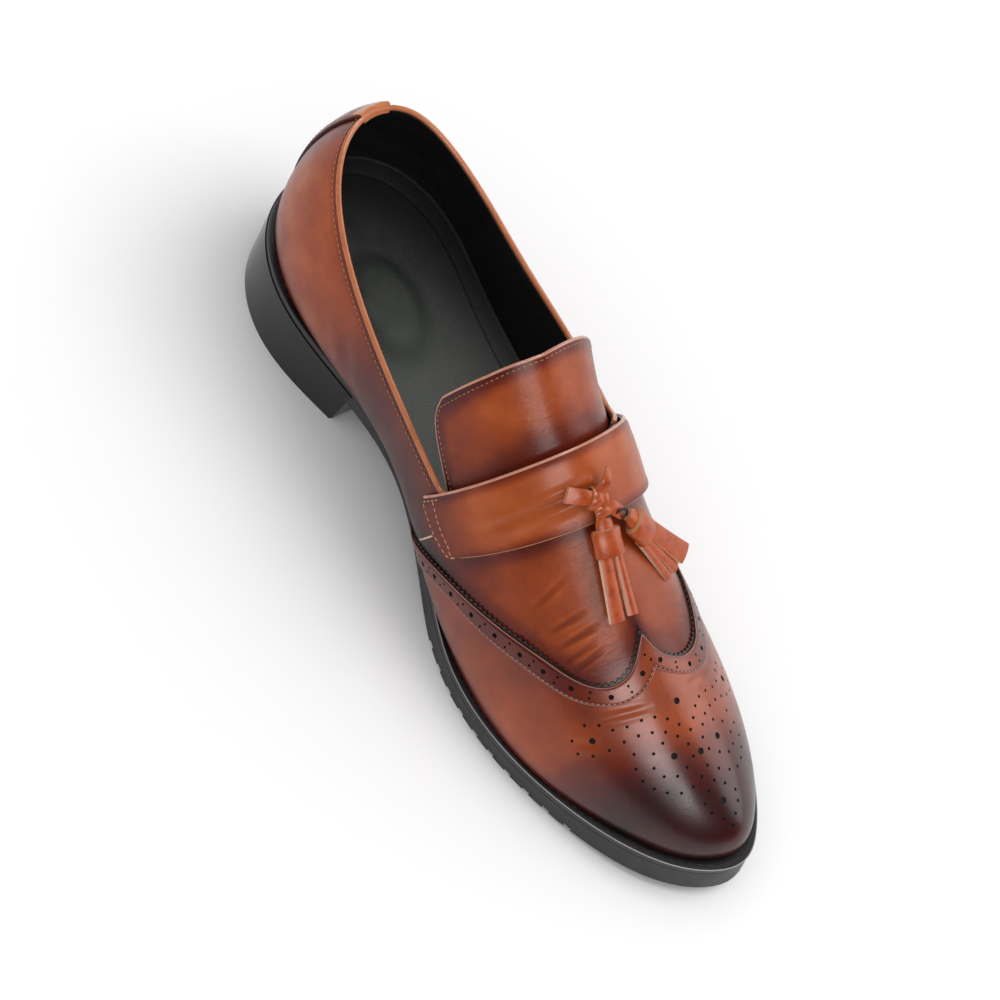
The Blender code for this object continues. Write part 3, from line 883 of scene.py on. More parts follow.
@dataclass
class Upper:
    """Vamp and quarters: the last's skin up to the collar, with its lining and collar edge."""

    last: Last
    wall: float = 1.3
    lining: float = 0.6
    ribs: int = 460
    rows: int = 56
    bead: float = 1.05             # radius of the folded collar edge
    bead_reach: float = 0.500      # shares along the side where the bead and the stitches end
    row_reach: float = 0.455
    row_drop: float = 2.2          # stitch row below the collar
    sewing: Sewing = Sewing(2.3, 1.5, 0.5, 0.5)
    seam: float = 0.32             # radius of the side seam's raw edge
    outer_relief: float = 0.3      # creases on the outer side, for one on the inner side
    darkness: float = 0.32          # colour away from every edge

    # Ribs are closer together at the throat: counted share against placed share.
    COUNTED = (0.0, 0.24, 0.45, 0.87, 1.0)
    PLACED = (0.0, 0.43, 0.57, 0.75, 1.0)
    CREASES = (
        Crease((0.685, 0.61), (0.694, 0.82), 0.50, 1.1),
        Crease((0.716, 0.62), (0.719, 0.80), 0.35, 1.0),
        Crease((0.702, 0.61), (0.707, 0.78), 0.30, 0.9),
        Crease((0.665, 0.61), (0.673, 0.79), 0.40, 1.1),
        Crease((0.633, 0.60), (0.629, 0.76), 0.30, 1.2),
        Crease((0.645, 0.36), (0.660, 0.56), 0.35, 3.0),
        Crease((0.300, 0.10), (0.255, 0.34), 0.40, 4.5),
        Crease((0.262, 0.08), (0.225, 0.30), 0.30, 4.0),
    )

    # Raw edge of the side seam: shares along the side and up the rib.
    SEAM = ((0.482, 0.497), (0.175, 0.325))

    def placed(self, a: Array) -> Array:
        """Place along the outline of a share around the grid."""
        share = np.interp(2 * np.minimum(a, 1 - a), self.COUNTED, self.PLACED)
        return self.last.p_beside(a <= 0.5, share)

    def relief(self, p: Array, t: Array) -> Array:
        """Height of the creases at places on the skin."""
        share = self.last.share(p)
        depth = np.where(p % self.last.around < self.last.half, 1.0, self.outer_relief)
        return depth * sum(crease.height(share, t, self.last.half) for crease in self.CREASES)

    def surface(self, a: Array, b: Array) -> tuple[Array, Array]:
        """Place along the outline and share up the rib for grid shares."""
        p = self.placed(a)
        columns, column_of = np.unique(np.round(p, 6), return_inverse=True)
        return p, b * self.last.collar_share(columns)[column_of]

    def place(self, a: Array, b: Array) -> Array:
        """Outer skin with its creases."""
        p, t = self.surface(a, b)
        return self.last.skin(p, t, self.relief(p, t))

    def zones(self, a: Array, b: Array) -> tuple[Array, Array]:
        """Burnish with painted shade and highlight, and wrinkle: dark along the welt, the waist and the
        wing, creased on the vamp.
        """
        p, t = self.surface(a, b)
        share = self.last.share(p)
        medial = p % self.last.around < self.last.half
        rows = np.array(Wing.LINES).T
        wing = np.where(medial, *(np.interp(t, rows[0], edge) for edge in rows[1:3]))
        strap_rise = np.clip((t - Strap.foot) / (1 - Strap.foot), 0, 1)
        strap = blend(*Strap.front, 1 - (1 - strap_rise) ** Strap.sweep)
        below_collar = (t - self.last.collar_share(p)) * RIB_LENGTH
        waist = smooth(0.22, 0.34, share) * (1 - smooth(0.52, 0.64, share))
        shades = (
            # Dark along the welt, partly burnish and partly painted shade where the upper meets the welt,
            # and dark under the collar. Painted shade in the troughs of the vamp's creases and a painted
            # highlight on their lips.
            0.20 * (1 - smooth(0.0, 0.14, t)),
            0.22 * smooth(-5.0, 0.0, below_collar),
            -0.36 * self.relief(p, t) * smooth(0.58, 0.62, share) * smooth(0.52, 0.58, t),
            # Dark beside the wing; painted shade on the vamp in front of the strap's edge and low in the
            # waist.
            0.21 * (1 - smooth(0.0, 0.04, wing - share)),
            0.24 * np.exp(-((share - strap - 0.004) / 0.011) ** 2) * smooth(0.33, 0.42, t),
            0.44 * waist * (1 - smooth(0.20, 0.55, t)) * np.where(medial, 1.0, 0.5),
            # Dark at the vamp's foot, light on its top and beside the heel, dark at the very back.
            0.14 * smooth(0.68, 0.75, share) * smooth(0.3, 0.6, t),
            -0.10 * smooth(0.56, 0.62, share) * smooth(0.45, 0.8, t),
            -0.12 * (1 - smooth(0.14, 0.32, share)) * smooth(0.1, 0.3, t),
            0.28 * (1 - smooth(0.035, 0.075, share)),
        )
        vamp = smooth(0.57, 0.63, share) * (1 - smooth(0.725, 0.75, share))
        wrinkle = 0.12 + 0.8 * vamp * smooth(0.40, 0.58, t) * (1 - 0.6 * smooth(0.84, 0.95, t))
        return self.darkness + sum(shades), wrinkle

    def collar_path(self, reach: float, drop: float, height: float, count: int = 240) -> Line:
        """Path round the collar, from one side of the throat to the other.

        Args:
            reach: Share along each side where it ends.
            drop: Distance below the collar in mm.
            height: Height over the skin in mm.
            count: Points on it.

        Returns:
            Points in metres and their outward directions.
        """
        p = np.linspace(-reach, reach, count) * self.last.half
        t = self.last.collar_share(p) - drop / RIB_LENGTH
        return to_world(self.last.skin(p, t, height)), to_world_way(self.last.normal(p, t))

    def build(self, finishes: Finishes) -> None:
        """Make the upper, its lining, collar bead, collar stitches and side seams."""
        skin = dress("upper_calf", patch(self.ribs, self.rows, self.place, self.zones),
                     [finishes.calf], ["upper"])
        thicken(skin, self.wall)

        def inside(a: Array, b: Array) -> Array:
            """Lining just inside the wall."""
            p, t = self.surface(a, 0.02 + 0.975 * b)
            return self.last.skin(p, t, -self.wall - 0.1)

        lining = dress("quarter_lining", patch(self.ribs // 2, self.rows // 2, inside),
                       [finishes.lining])
        thicken(lining, self.lining)
        edge = self.collar_path(self.bead_reach, -0.1, -self.wall * 0.5)
        piping("collar_bead", edge, self.bead, finishes.bead)
        row = self.collar_path(self.row_reach, self.row_drop, 0.15)
        self.sewing.sew("collar_stitching", [row], finishes.cut, Slot.UPPER)
        for side in Side:
            share, t = (np.linspace(*ends, 20) for ends in self.SEAM)
            p = self.last.p(side, share)
            cut = to_world(self.last.skin(p, t, 0.15)), to_world_way(self.last.normal(p, t))
            piping("side_seam_" + side.name.lower(), cut, self.seam, finishes.raw, 8)


@dataclass
class Wing:
    """Winged toe: gimped strip, punched band and cap, laid over the vamp from the peak to the waist."""

    last: Last
    gimp: float = 2.2              # dark strip that shows past the band
    tooth_pitch: float = 2.3
    tooth_deep: float = 1.4
    band: float = 8.5
    tuck: float = 1.6              # how far a piece runs under its neighbour
    cap_top: float = 0.75          # heights over the skin
    band_top: float = 1.5
    gimp_top: float = 0.75
    foot: float = 0.05             # height of the cap's and the strip's undersides
    hole_pitch: float = 10.7
    band_holes: tuple[float, float] = (1.0, 0.5)       # radii of the large and the small holes
    cap_holes: tuple[float, float] = (1.25, 0.62)
    hole_deep: tuple[float, float] = (0.6, 0.45)       # in the band and in the cap
    pair_apart: float = 2.9
    hole_step: float = 4.5
    sewing: Sewing = Sewing(2.0, 1.3, 0.42, 0.45)

    # Share up the rib, then the wing's edge on the medial and lateral side, then the band's border.
    LINES = (
        (0.00, 0.440, 0.445, 0.484, 0.490), (0.15, 0.481, 0.490, 0.518, 0.530),
        (0.25, 0.518, 0.535, 0.556, 0.578), (0.35, 0.569, 0.590, 0.620, 0.645),
        (0.45, 0.625, 0.650, 0.680, 0.710), (0.54, 0.673, 0.697, 0.731, 0.750),
        (0.60, 0.708, 0.724, 0.752, 0.768), (0.66, 0.733, 0.741, 0.766, 0.778),
        (0.74, 0.750, 0.754, 0.780, 0.786), (0.82, 0.754, 0.760, 0.786, 0.788),
        (0.90, 0.746, 0.756, 0.787, 0.785), (0.96, 0.730, 0.741, 0.781, 0.780),
        (1.00, 0.718, 0.718, 0.774, 0.774),
    )
    # The medallion drawn flat: distance from the centre line, and u. It is mirrored.
    SCROLL = (
        (0.0, 252.2), (3.2, 249.0), (8.0, 244.2), (14.5, 241.7), (24.0, 238.8), (29.5, 232.4),
        (33.6, 233.6), (33.8, 239.2), (29.0, 243.6), (21.5, 244.8), (13.5, 246.9), (7.0, 250.8),
        (3.3, 256.2),
    )
    HEART = (
        (3.6, 260.6), (7.2, 262.8), (11.0, 264.0), (15.4, 262.2),
        (17.6, 257.6), (15.6, 253.2), (11.6, 251.9),
    )
    OUTER = (
        (21.2, 250.0), (22.6, 255.6), (21.2, 261.4), (17.4, 266.6),
        (12.0, 269.8), (6.6, 269.2), (0.0, 265.4),
    )
    TIP = ((0.0, 271.0), (4.0, 273.6), (7.2, 277.4), (4.4, 282.2), (0.0, 287.2))
    LARGE = ((0.0, 241.5), (29.6, 238.2), (9.9, 257.6), (0.0, 260.2), (0.0, 278.4))
    # Centre line of the toe. Columns: u, x.
    AXIS = ((215, 3.8), (241, 6.2), (262, 8.4), (290, 10.8))
    CAP_CREASES = (
        Crease((0.768, 0.55), (0.812, 0.88), 0.40, 1.5),
        Crease((0.775, 0.40), (0.800, 0.56), 0.20, 1.6),
    )

    def __post_init__(self) -> None:
        """Lay the edge out and measure it."""
        self.line, self.axis = Spline.through(self.LINES), Spline.through(self.AXIS)
        self.measured = np.linspace(0, 1, 400)
        self.runs = {side: run_along(self.last.skin(self.last.p(side, edge), self.measured))
                     for side, edge in zip(Side, self.line(self.measured).T)}

    def length(self, side: Side) -> float:
        """Length of the edge on one side, in mm."""
        return float(self.runs[side][-1])

    def spot(self, side: Side, t: Array, offset: Array) -> Array:
        """Place along the outline at a distance in front of the wing's edge."""
        edge, border = (self.line(t)[:, side.value + k] for k in (0, 2))
        return self.last.p(side, blend(edge, border, offset / (self.gimp + self.band)))

    def square(self, side: Side, t: Array, offset: Array) -> Array:
        """Share up the rib that lies square in front of a place on the wing's edge."""
        step = 0.01
        low, high = np.clip(t - step, 0, 1), np.clip(t + step, 0, 1)
        run = (self.line(high) - self.line(low))[:, side.value] * self.last.half
        slope = run / ((high - low) * RIB_LENGTH)
        return np.clip(t - offset * slope / np.sqrt(1 + slope ** 2) / RIB_LENGTH, 0.0, 1.0)

    def along(self, a: Array) -> tuple[Array, Array]:
        """Sides and shares up the rib for shares along the edge, from waist to waist over the peak."""
        t = np.empty_like(a)
        medial = a <= 0.5
        for side, mask, share in ((Side.MEDIAL, medial, 2 * a), (Side.LATERAL, ~medial, 2 - 2 * a)):
            t[mask] = np.interp(share[mask] * self.length(side), self.runs[side], self.measured)
        return medial, t

    def strip(self, a: Array, offset: Array, height: Array) -> Array:
        """Points along the whole edge, at a distance in front of it and a height over the skin."""
        medial, t = self.along(a)
        offset = np.broadcast_to(offset, a.shape)
        t = np.where(medial, *(self.square(side, t, offset) for side in Side))
        p = np.where(medial, *(self.spot(side, t, offset) for side in Side))
        return self.last.skin(p, t, height)

    def strip_path(self, offset: float, height: float, count: int = 420) -> Line:
        """Line along the whole edge.

        Args:
            offset: Distance in front of the edge in mm.
            height: Height over the skin in mm.
            count: Points on it.

        Returns:
            Points in metres and their outward directions.
        """
        a = np.linspace(0.004, 0.996, count)
        low = self.strip(a, offset, height)
        return to_world(low), unit(to_world_way(self.strip(a, offset, height + 1.0) - low))

    def cap_place(self, a: Array, b: Array) -> tuple[Array, Array]:
        """Place along the outline and share up the rib of the cap."""
        medial = a <= 0.5
        start = self.gimp + self.band - self.tuck
        near = np.where(medial, *(self.spot(side, b, start) for side in Side))
        share = 2 * np.minimum(a, 1 - a)
        return blend(near, self.last.half, share), b

    def cap_zones(self, a: Array, b: Array) -> tuple[Array, Array]:
        """Burnish and wrinkle: nearly black at the tip, cognac behind it, with painted shade along the
        welt.
        """
        p, t = self.cap_place(a, b)
        point = self.last.skin(p, t)
        off = np.abs(point[:, 0] - self.axis(point[:, 1])[:, 0])
        tip = smooth(248.0, 277.0, point[:, 1] + np.where(a <= 0.5, 0.5, 0.3) * off)
        # Painted shade along the welt, where the cap meets it.
        low = 1 - smooth(0.0, 0.15, t)
        border = (1 - smooth(0.0, 0.4, 2 * np.minimum(a, 1 - a))) * (1 - smooth(0.55, 0.72, t))
        darkness = 0.24 + 0.60 * tip + 0.36 * low * (1 - 0.7 * tip) + 0.16 * border
        return darkness, 0.25 - 0.15 * tip

    def medallion(self) -> list[tuple[float, float, float]]:
        """Hole places drawn flat: distance from the centre line, u and radius."""
        holes = [(across, u, self.cap_holes[0]) for across, u in self.LARGE]
        for row in (self.SCROLL, self.HEART, self.OUTER, self.TIP):
            knots = run_along(row)
            curve = Spline(knots, row)
            count = int(round(knots[-1] / self.hole_step))
            spots = curve(np.linspace(0, knots[-1], count + 1))
            holes += [(across, u, self.cap_holes[1]) for across, u in spots]
        mirrored = [(-across, u, radius) for across, u, radius in holes if across > 0.8]
        return holes + mirrored

    def drop(self, holes: list[tuple[float, float, float]], cap: bpy.types.Object) -> Array:
        """Frames of pins over the cap for holes drawn flat.

        Args:
            holes: Distance from the centre line, u and radius of each hole.
            cap: Piece that the pins stand on.

        Returns:
            One matrix for each hole that meets the cap.
        """
        depth = self.hole_deep[1]
        frames = []
        for across, u, radius in holes:
            above = to_world(np.array((self.axis(u)[0, 0] + across, u, 140.0)))
            hit, point, normal, _ = cap.ray_cast(Vector(above), Vector((0, 0, -1)))
            if hit:
                turn = normal.to_track_quat("Z", "Y").to_matrix().to_4x4()
                size = Matrix.Diagonal((radius * MM, radius * MM, depth * MM, 1.0))
                frames.append(np.array(Matrix.Translation(point) @ turn @ size))
        return np.array(frames)

    def band_frames(self) -> Array:
        """Frames of the band's pins: one large hole, then a pair of small ones."""
        middle = self.gimp + self.band / 2
        frames = []
        for side in Side:
            count = int(self.length(side) / (self.hole_pitch / 2))
            for i in range(1, count):
                reach = 0.5 * (1 - (i - 0.45) * self.hole_pitch / 2 / self.length(side))
                a = reach if side is Side.MEDIAL else 1 - reach
                offsets = (0.0,) if i % 2 else (-self.pair_apart / 2, self.pair_apart / 2)
                radius = self.band_holes[0 if i % 2 else 1]
                size = (radius, radius, self.hole_deep[0])
                for offset in offsets:
                    # The hole's own place, one above it and one a little further along.
                    spread = np.array((a, a, a + 0.002))
                    heights = self.band_top + np.array((0.0, 1.0, 0.0))
                    spot, up, way = to_world(self.strip(spread, middle + offset, heights))[:, None]
                    frames.append(frames_on(spot, way - spot, unit(up - spot), size))
        return np.concatenate(frames)

    def build(self, finishes: Finishes) -> None:
        """Make cap, band, gimped strip, band edge, piping and stitches."""
        def cap(a: Array, b: Array, layer: Array) -> Array:
            """Cap over the toe, its upper edge under the band."""
            p, t = self.cap_place(a, b)
            share = self.last.share(p)
            relief = sum(crease.height(share, t, self.last.half) for crease in self.CAP_CREASES)
            return self.last.skin(p, t, blend(self.foot, self.cap_top + relief, layer))

        toe = dress("toe_cap", slab(150, 64, cap, self.cap_zones, ridge=True),
                    [finishes.polished, finishes.polished])
        bpy.context.view_layer.update()
        punch(toe, scatter(pin(12), self.drop(self.medallion(), toe)), finishes.hole)

        def band(a: Array, b: Array, layer: Array) -> Array:
            """Band along the wing's edge, its borders rolled down."""
            offset = self.gimp + self.band * b
            edge = 0.35 * (1 - smooth(0.0, 0.09, np.minimum(b, 1 - b)))
            return self.strip(a, offset, blend(0.1, self.band_top - edge, layer))

        def band_zones(a: Array, b: Array) -> tuple[Array, Array]:
            """Oxblood band, darkest along its borders, lighter on the crown as a painted sheen."""
            # Lighter where the band crosses the top of the toe: a painted sheen.
            crown = smooth(0.6, 0.8, self.along(a)[1])
            darkness = 0.58 - 0.26 * crown + 0.16 * (1 - smooth(0.0, 0.3, np.minimum(b, 1 - b)))
            return darkness, np.full_like(a, 0.1)

        strip = dress("wing_band", slab(260, 12, band, band_zones),
                      [finishes.polished, finishes.polished])
        punch(strip, scatter(pin(14), self.band_frames()), finishes.hole)

        teeth = 2 * int(round(self.length(Side.MEDIAL) / self.tooth_pitch))

        def gimp(a: Array, b: Array, layer: Array) -> Array:
            """Black strip with a saw-tooth edge."""
            tooth = self.tooth_deep * (np.round(a * 2 * teeth) % 2)
            offset = blend(tooth, self.gimp + self.tuck, b)
            return self.strip(a, offset, blend(self.foot, self.gimp_top, layer))

        dress("gimp_strip", slab(2 * teeth, 2, gimp), [finishes.gimp, finishes.gimp])
        border = self.gimp + self.band
        edge = self.strip_path(border - 0.1, self.cap_top + 0.25)
        piping("band_edge", edge, 0.34, finishes.rose, 8)
        edge = self.strip_path(self.gimp + 0.1, self.band_top - 0.3)
        piping("band_piping", edge, 0.26, finishes.rose, 8)
        row = self.strip_path(border - 0.75, self.band_top - 0.1)
        self.sewing.sew("band_stitching", [row], finishes.band_thread, Slot.UPPER)


@dataclass
class Strap:
    """Saddle strap over the instep, its ends sewn down with two rows."""

    last: Last
    back: tuple[float, float] = (0.455, 0.515)     # share along the side, at the end and over the ridge
    front: tuple[float, float] = (0.534, 0.590)
    sweep: float = 1.8                             # power of the edges' curve
    foot: float = 0.37                             # share up the rib where its front edge starts
    thick: float = 2.0
    lift: float = 1.2
    length: float = 72.0                           # from an end to the ridge
    sewing: Sewing = Sewing(2.5, 1.7, 0.55, 0.5)

    # Curved end: share across the strap, share up the rib.
    END = ((0.0, 0.332), (0.45, 0.318), (0.8, 0.334), (0.93, 0.356), (1.0, 0.392))
    # Stitch rows on the end: share across the strap, distance from the end in mm.
    ROWS = (
        ((0.05, 9.5), (0.05, 1.2), (0.5, 1.2), (0.8, 1.2), (0.955, 1.6)),
        ((0.05, 6.6), (0.35, 6.0), (0.7, 5.2), (0.955, 2.4)),
    )
    # Soft folds that run along the strap to the knot: height, share across the strap, width.
    FOLDS = ((0.85, 0.46, 0.06), (-0.70, 0.57, 0.06), (0.90, 0.70, 0.07))

    @property
    def end(self) -> Spline:
        """Curve of the strap's end."""
        return Spline.through(self.END)

    def place(self, a: Array, b: Array, layer: Array) -> Array:
        """Strap surface, folded on the inner side, with a full belly and a rolled back edge."""
        rise = 1 - np.abs(2 * a - 1)
        t = blend(self.end(b)[:, 0], 1.0, rise)
        bend = 1 - (1 - rise) ** self.sweep
        share = blend(blend(*self.back, bend), blend(*self.front, bend), b)
        medial = a < 0.5
        drift = b + 0.10 * (rise - 0.6)
        folds = sum(high * np.exp(-((drift - at) / wide) ** 2) for high, at, wide in self.FOLDS)
        fold = np.where(medial, 1.0, 0.0) * smooth(0.2, 0.5, rise) * folds
        belly = 0.5 * np.sin(np.pi * b) * smooth(0.1, 0.4, rise)
        rolled = 0.5 * (1 - smooth(0.0, 0.07, b))
        raised = self.lift * smooth(0.03, 0.5, rise) + 0.5 * smooth(0.8, 1.0, b) * smooth(0.03, 0.2, rise)
        height = GAP + raised + layer * (self.thick + fold + belly - rolled)
        return self.last.skin(self.last.p_beside(medial, share), t, height)

    def zones(self, a: Array, b: Array) -> tuple[Array, Array]:
        """Burnish and wrinkle: darker at the ends and along the edges."""
        rise = 1 - np.abs(2 * a - 1)
        edge = 1 - smooth(0.0, 0.16, np.minimum(b, 1 - b))
        darkness = 0.14 + 0.36 * (1 - smooth(0.0, 0.4, rise)) + 0.30 * edge
        return darkness, 0.15 + 0.40 * smooth(0.4, 0.7, rise) * smooth(0.3, 0.5, b)

    def row(self, corners: Sequence[tuple[float, float]], side: Side) -> Line:
        """Line of a stitch row over the strap's end.

        Args:
            corners: Corners of the row.
            side: Side of the foot.

        Returns:
            Points in metres and their outward directions.
        """
        shares, insets = np.array(corners).T
        steps = np.linspace(0, len(corners) - 1, 60)
        b = np.interp(steps, np.arange(len(corners)), shares)
        a = np.interp(steps, np.arange(len(corners)), insets) / self.length / 2
        return on_sheet(self.place, a if side is Side.MEDIAL else 1 - a, b)

    def build(self, finishes: Finishes) -> None:
        """Make the strap, its two edges and its end rows."""
        band = dress("strap_calf", slab(150, 30, self.place, self.zones), [finishes.calf, finishes.bead],
                     ["strap"])
        round_edges(band, 0.5)
        a = np.linspace(0.012, 0.988, 200)
        for name, b, layer, radius, finish in (("strap_roll", 0.0, 0.72, 0.62, finishes.roll),
                                               ("strap_cut_edge", 1.0, 0.74, 0.45, finishes.cut)):
            edge = on_sheet(self.place, a, np.full_like(a, b), layer)
            piping(name, edge, radius, finish)
        rows = [self.row(corners, side) for side in Side for corners in self.ROWS]
        self.sewing.sew("strap_stitching", rows, finishes.thread, Slot.UPPER)


@dataclass
class Tongue:
    """Tongue flap rising out of the strap, stitched round its free edge."""

    last: Last
    front: float = 0.585           # share along the side where it ends under the vamp
    thick: float = 2.0
    drop: float = 1.0              # how far it lies under the upper's wall
    spring: float = 5.2            # how far its free edge rises
    sprung: float = 0.5            # share of its length that rises
    roll: float = 0.72             # radius of its rolled edge
    inset: tuple[float, float] = (0.016, 0.028)    # stitch rows inside the sides and the free edge
    sewing: Sewing = Sewing(2.2, 1.3, 0.4, 0.4)

    # Free edge on the medial and the lateral side: share of the way from the side to the ridge,
    # share along the side.
    BACK = (
        ((0.0, 0.392), (0.05, 0.390), (0.18, 0.394), (0.5, 0.404), (0.85, 0.412), (1.0, 0.414)),
        ((0.0, 0.420), (0.03, 0.411), (0.08, 0.406), (0.15, 0.404),
         (0.5, 0.407), (0.85, 0.412), (1.0, 0.414)),
    )
    # Side edge on each side: share of the way from the free edge to the vamp, share up the rib.
    SIDES = (
        ((0.0, 0.548), (0.02, 0.520), (0.06, 0.496), (0.14, 0.469),
         (0.25, 0.444), (0.4, 0.416), (1.0, 0.400)),
        ((0.0, 0.470), (0.06, 0.462), (0.14, 0.452), (0.25, 0.440), (0.4, 0.416), (1.0, 0.400)),
    )

    def place(self, a: Array, b: Array, layer: Array) -> Array:
        """Tongue surface, one wall below the skin, its free edge sprung up, most on the outer side."""
        rise = 1 - np.abs(2 * a - 1)
        medial = a < 0.5
        low = [np.interp(b, *zip(*side)) for side in self.SIDES]
        back = [np.interp(rise, *zip(*side)) for side in self.BACK]
        t = blend(np.where(medial, *low), 1.0, rise)
        share = blend(np.where(medial, *back), self.front, b)
        sprung = np.where(medial, rise, smooth(-0.5, 0.25, rise))
        spring = self.spring * sprung * np.maximum(0.0, 1 - b / self.sprung) ** 2
        height = spring - WALL - self.drop - (1 - layer) * self.thick
        return self.last.skin(self.last.p_beside(medial, share), t, height)

    def zones(self, a: Array, b: Array) -> tuple[Array, Array]:
        """Burnish and wrinkle: dark along the free edge and the sides, darker towards the strap, finely
        folded in the middle.
        """
        rise = 1 - np.abs(2 * a - 1)
        edge = np.maximum(1 - smooth(0.0, 0.12, b), 1 - smooth(0.0, 0.12, rise))
        # Darker towards the strap: burnish and painted shade where the tongue runs under the strap.
        deep = smooth(0.30, 0.55, b)
        side = 1 - smooth(0.1, 0.55, rise)
        folds = smooth(0.10, 0.25, b) * (1 - smooth(0.35, 0.6, b)) * smooth(0.35, 0.8, rise)
        return 0.20 + 0.42 * edge + 0.32 * deep + 0.16 * side, 0.35 + 0.35 * folds

    def build(self, finishes: Finishes) -> None:
        """Make the tongue, its rolled edge and its stitches."""
        flap = dress("tongue_calf", slab(110, 60, self.place, self.zones), [finishes.calf, finishes.bead],
                     ["tongue"])
        round_edges(flap, 0.6)
        # The outer end stops where the flap goes in behind the collar.
        inner_b, outer_b = np.linspace(0.6, 0.012, 30), np.linspace(0.004, 0.03, 6)
        a = np.concatenate((np.zeros(30), np.linspace(0.006, 0.994, 120), np.ones(6)))
        b = np.concatenate((inner_b, np.zeros(120), outer_b))
        piping("tongue_roll", on_sheet(self.place, a, b, 0.66), self.roll, finishes.roll)
        inset_a, inset_b = self.inset
        side_b = np.linspace(0.62, inset_b + 0.03, 30)
        across_a = np.linspace(inset_a + 0.016, 1 - inset_a - 0.016, 90)
        a = np.concatenate((np.full(30, inset_a), across_a, np.full(30, 1 - inset_a)))
        b = np.concatenate((side_b, np.full(90, inset_b), side_b[::-1]))
        self.sewing.sew("tongue_stitching", [on_sheet(self.place, a, b)], finishes.cut, Slot.UPPER)


@dataclass
class Back:
    """Back strip down the heel and the tab folded over the collar above it."""

    last: Last
    half_top: float = 8.5
    half_foot: float = 11.0
    thick: float = 1.2
    tab_half: float = 8.0
    tab_deep: float = 4.5
    tab_thick: float = 0.6
    tab_flat: float = 0.35         # share of the tab's length on each side of its fold
    tab_rise: float = 0.45         # height of the fold, for a round one

    def strip(self, a: Array, b: Array, layer: Array) -> Array:
        """Strip on the skin, widening to the welt."""
        top = self.last.collar_share(np.zeros(1))[0]
        half = blend(self.half_foot, self.half_top, b)
        edge = 0.3 * (1 - smooth(0.0, 0.08, np.minimum(a, 1 - a)))
        return self.last.skin((2 * a - 1) * half, blend(0.01, top, b), GAP + layer * (self.thick - edge))

    def tab(self, a: Array, b: Array, layer: Array) -> Array:
        """Tab: up the outside, over the collar and down the inside."""
        p = (2 * a - 1) * self.tab_half
        top = self.last.collar_share(p)
        flat = self.tab_flat
        turn = np.clip((b - flat) / (1 - 2 * flat), 0.0, 1.0) * math.pi
        outside, inside = self.thick + GAP + 0.25, -WALL - 0.5
        middle, radius = (outside + inside) / 2, (outside - inside) / 2
        bulge = radius - (1 - layer) * self.tab_thick
        drop = np.maximum(0.0, np.maximum(flat - b, b - 1 + flat)) / flat * self.tab_deep
        base = self.last.skin(p, top - drop / RIB_LENGTH, middle + bulge * np.cos(turn))
        return base + np.outer(bulge * np.sin(turn) * self.tab_rise, UP)

    def build(self, finishes: Finishes) -> None:
        """Make strip, tab and the strip's edge stitches."""
        def zones(a: Array, b: Array) -> tuple[Array, Array]:
            """Dark along the strip's edges."""
            return 0.34 + 0.4 * (1 - smooth(0.0, 0.16, np.minimum(a, 1 - a))), np.full_like(a, 0.1)

        dress("back_strip", slab(22, 70, self.strip, zones), [finishes.calf, finishes.calf],
              ["backstay"])
        tab = dress("back_tab", slab(24, 48, self.tab), [finishes.bead, finishes.bead])
        round_edges(tab, 0.3)
        b = np.linspace(0.03, 0.86, 60)
        rows = [on_sheet(self.strip, np.full_like(b, a), b) for a in (0.1, 0.9)]
        Sewing().sew("back_stitching", rows, finishes.thread, Slot.UPPER)


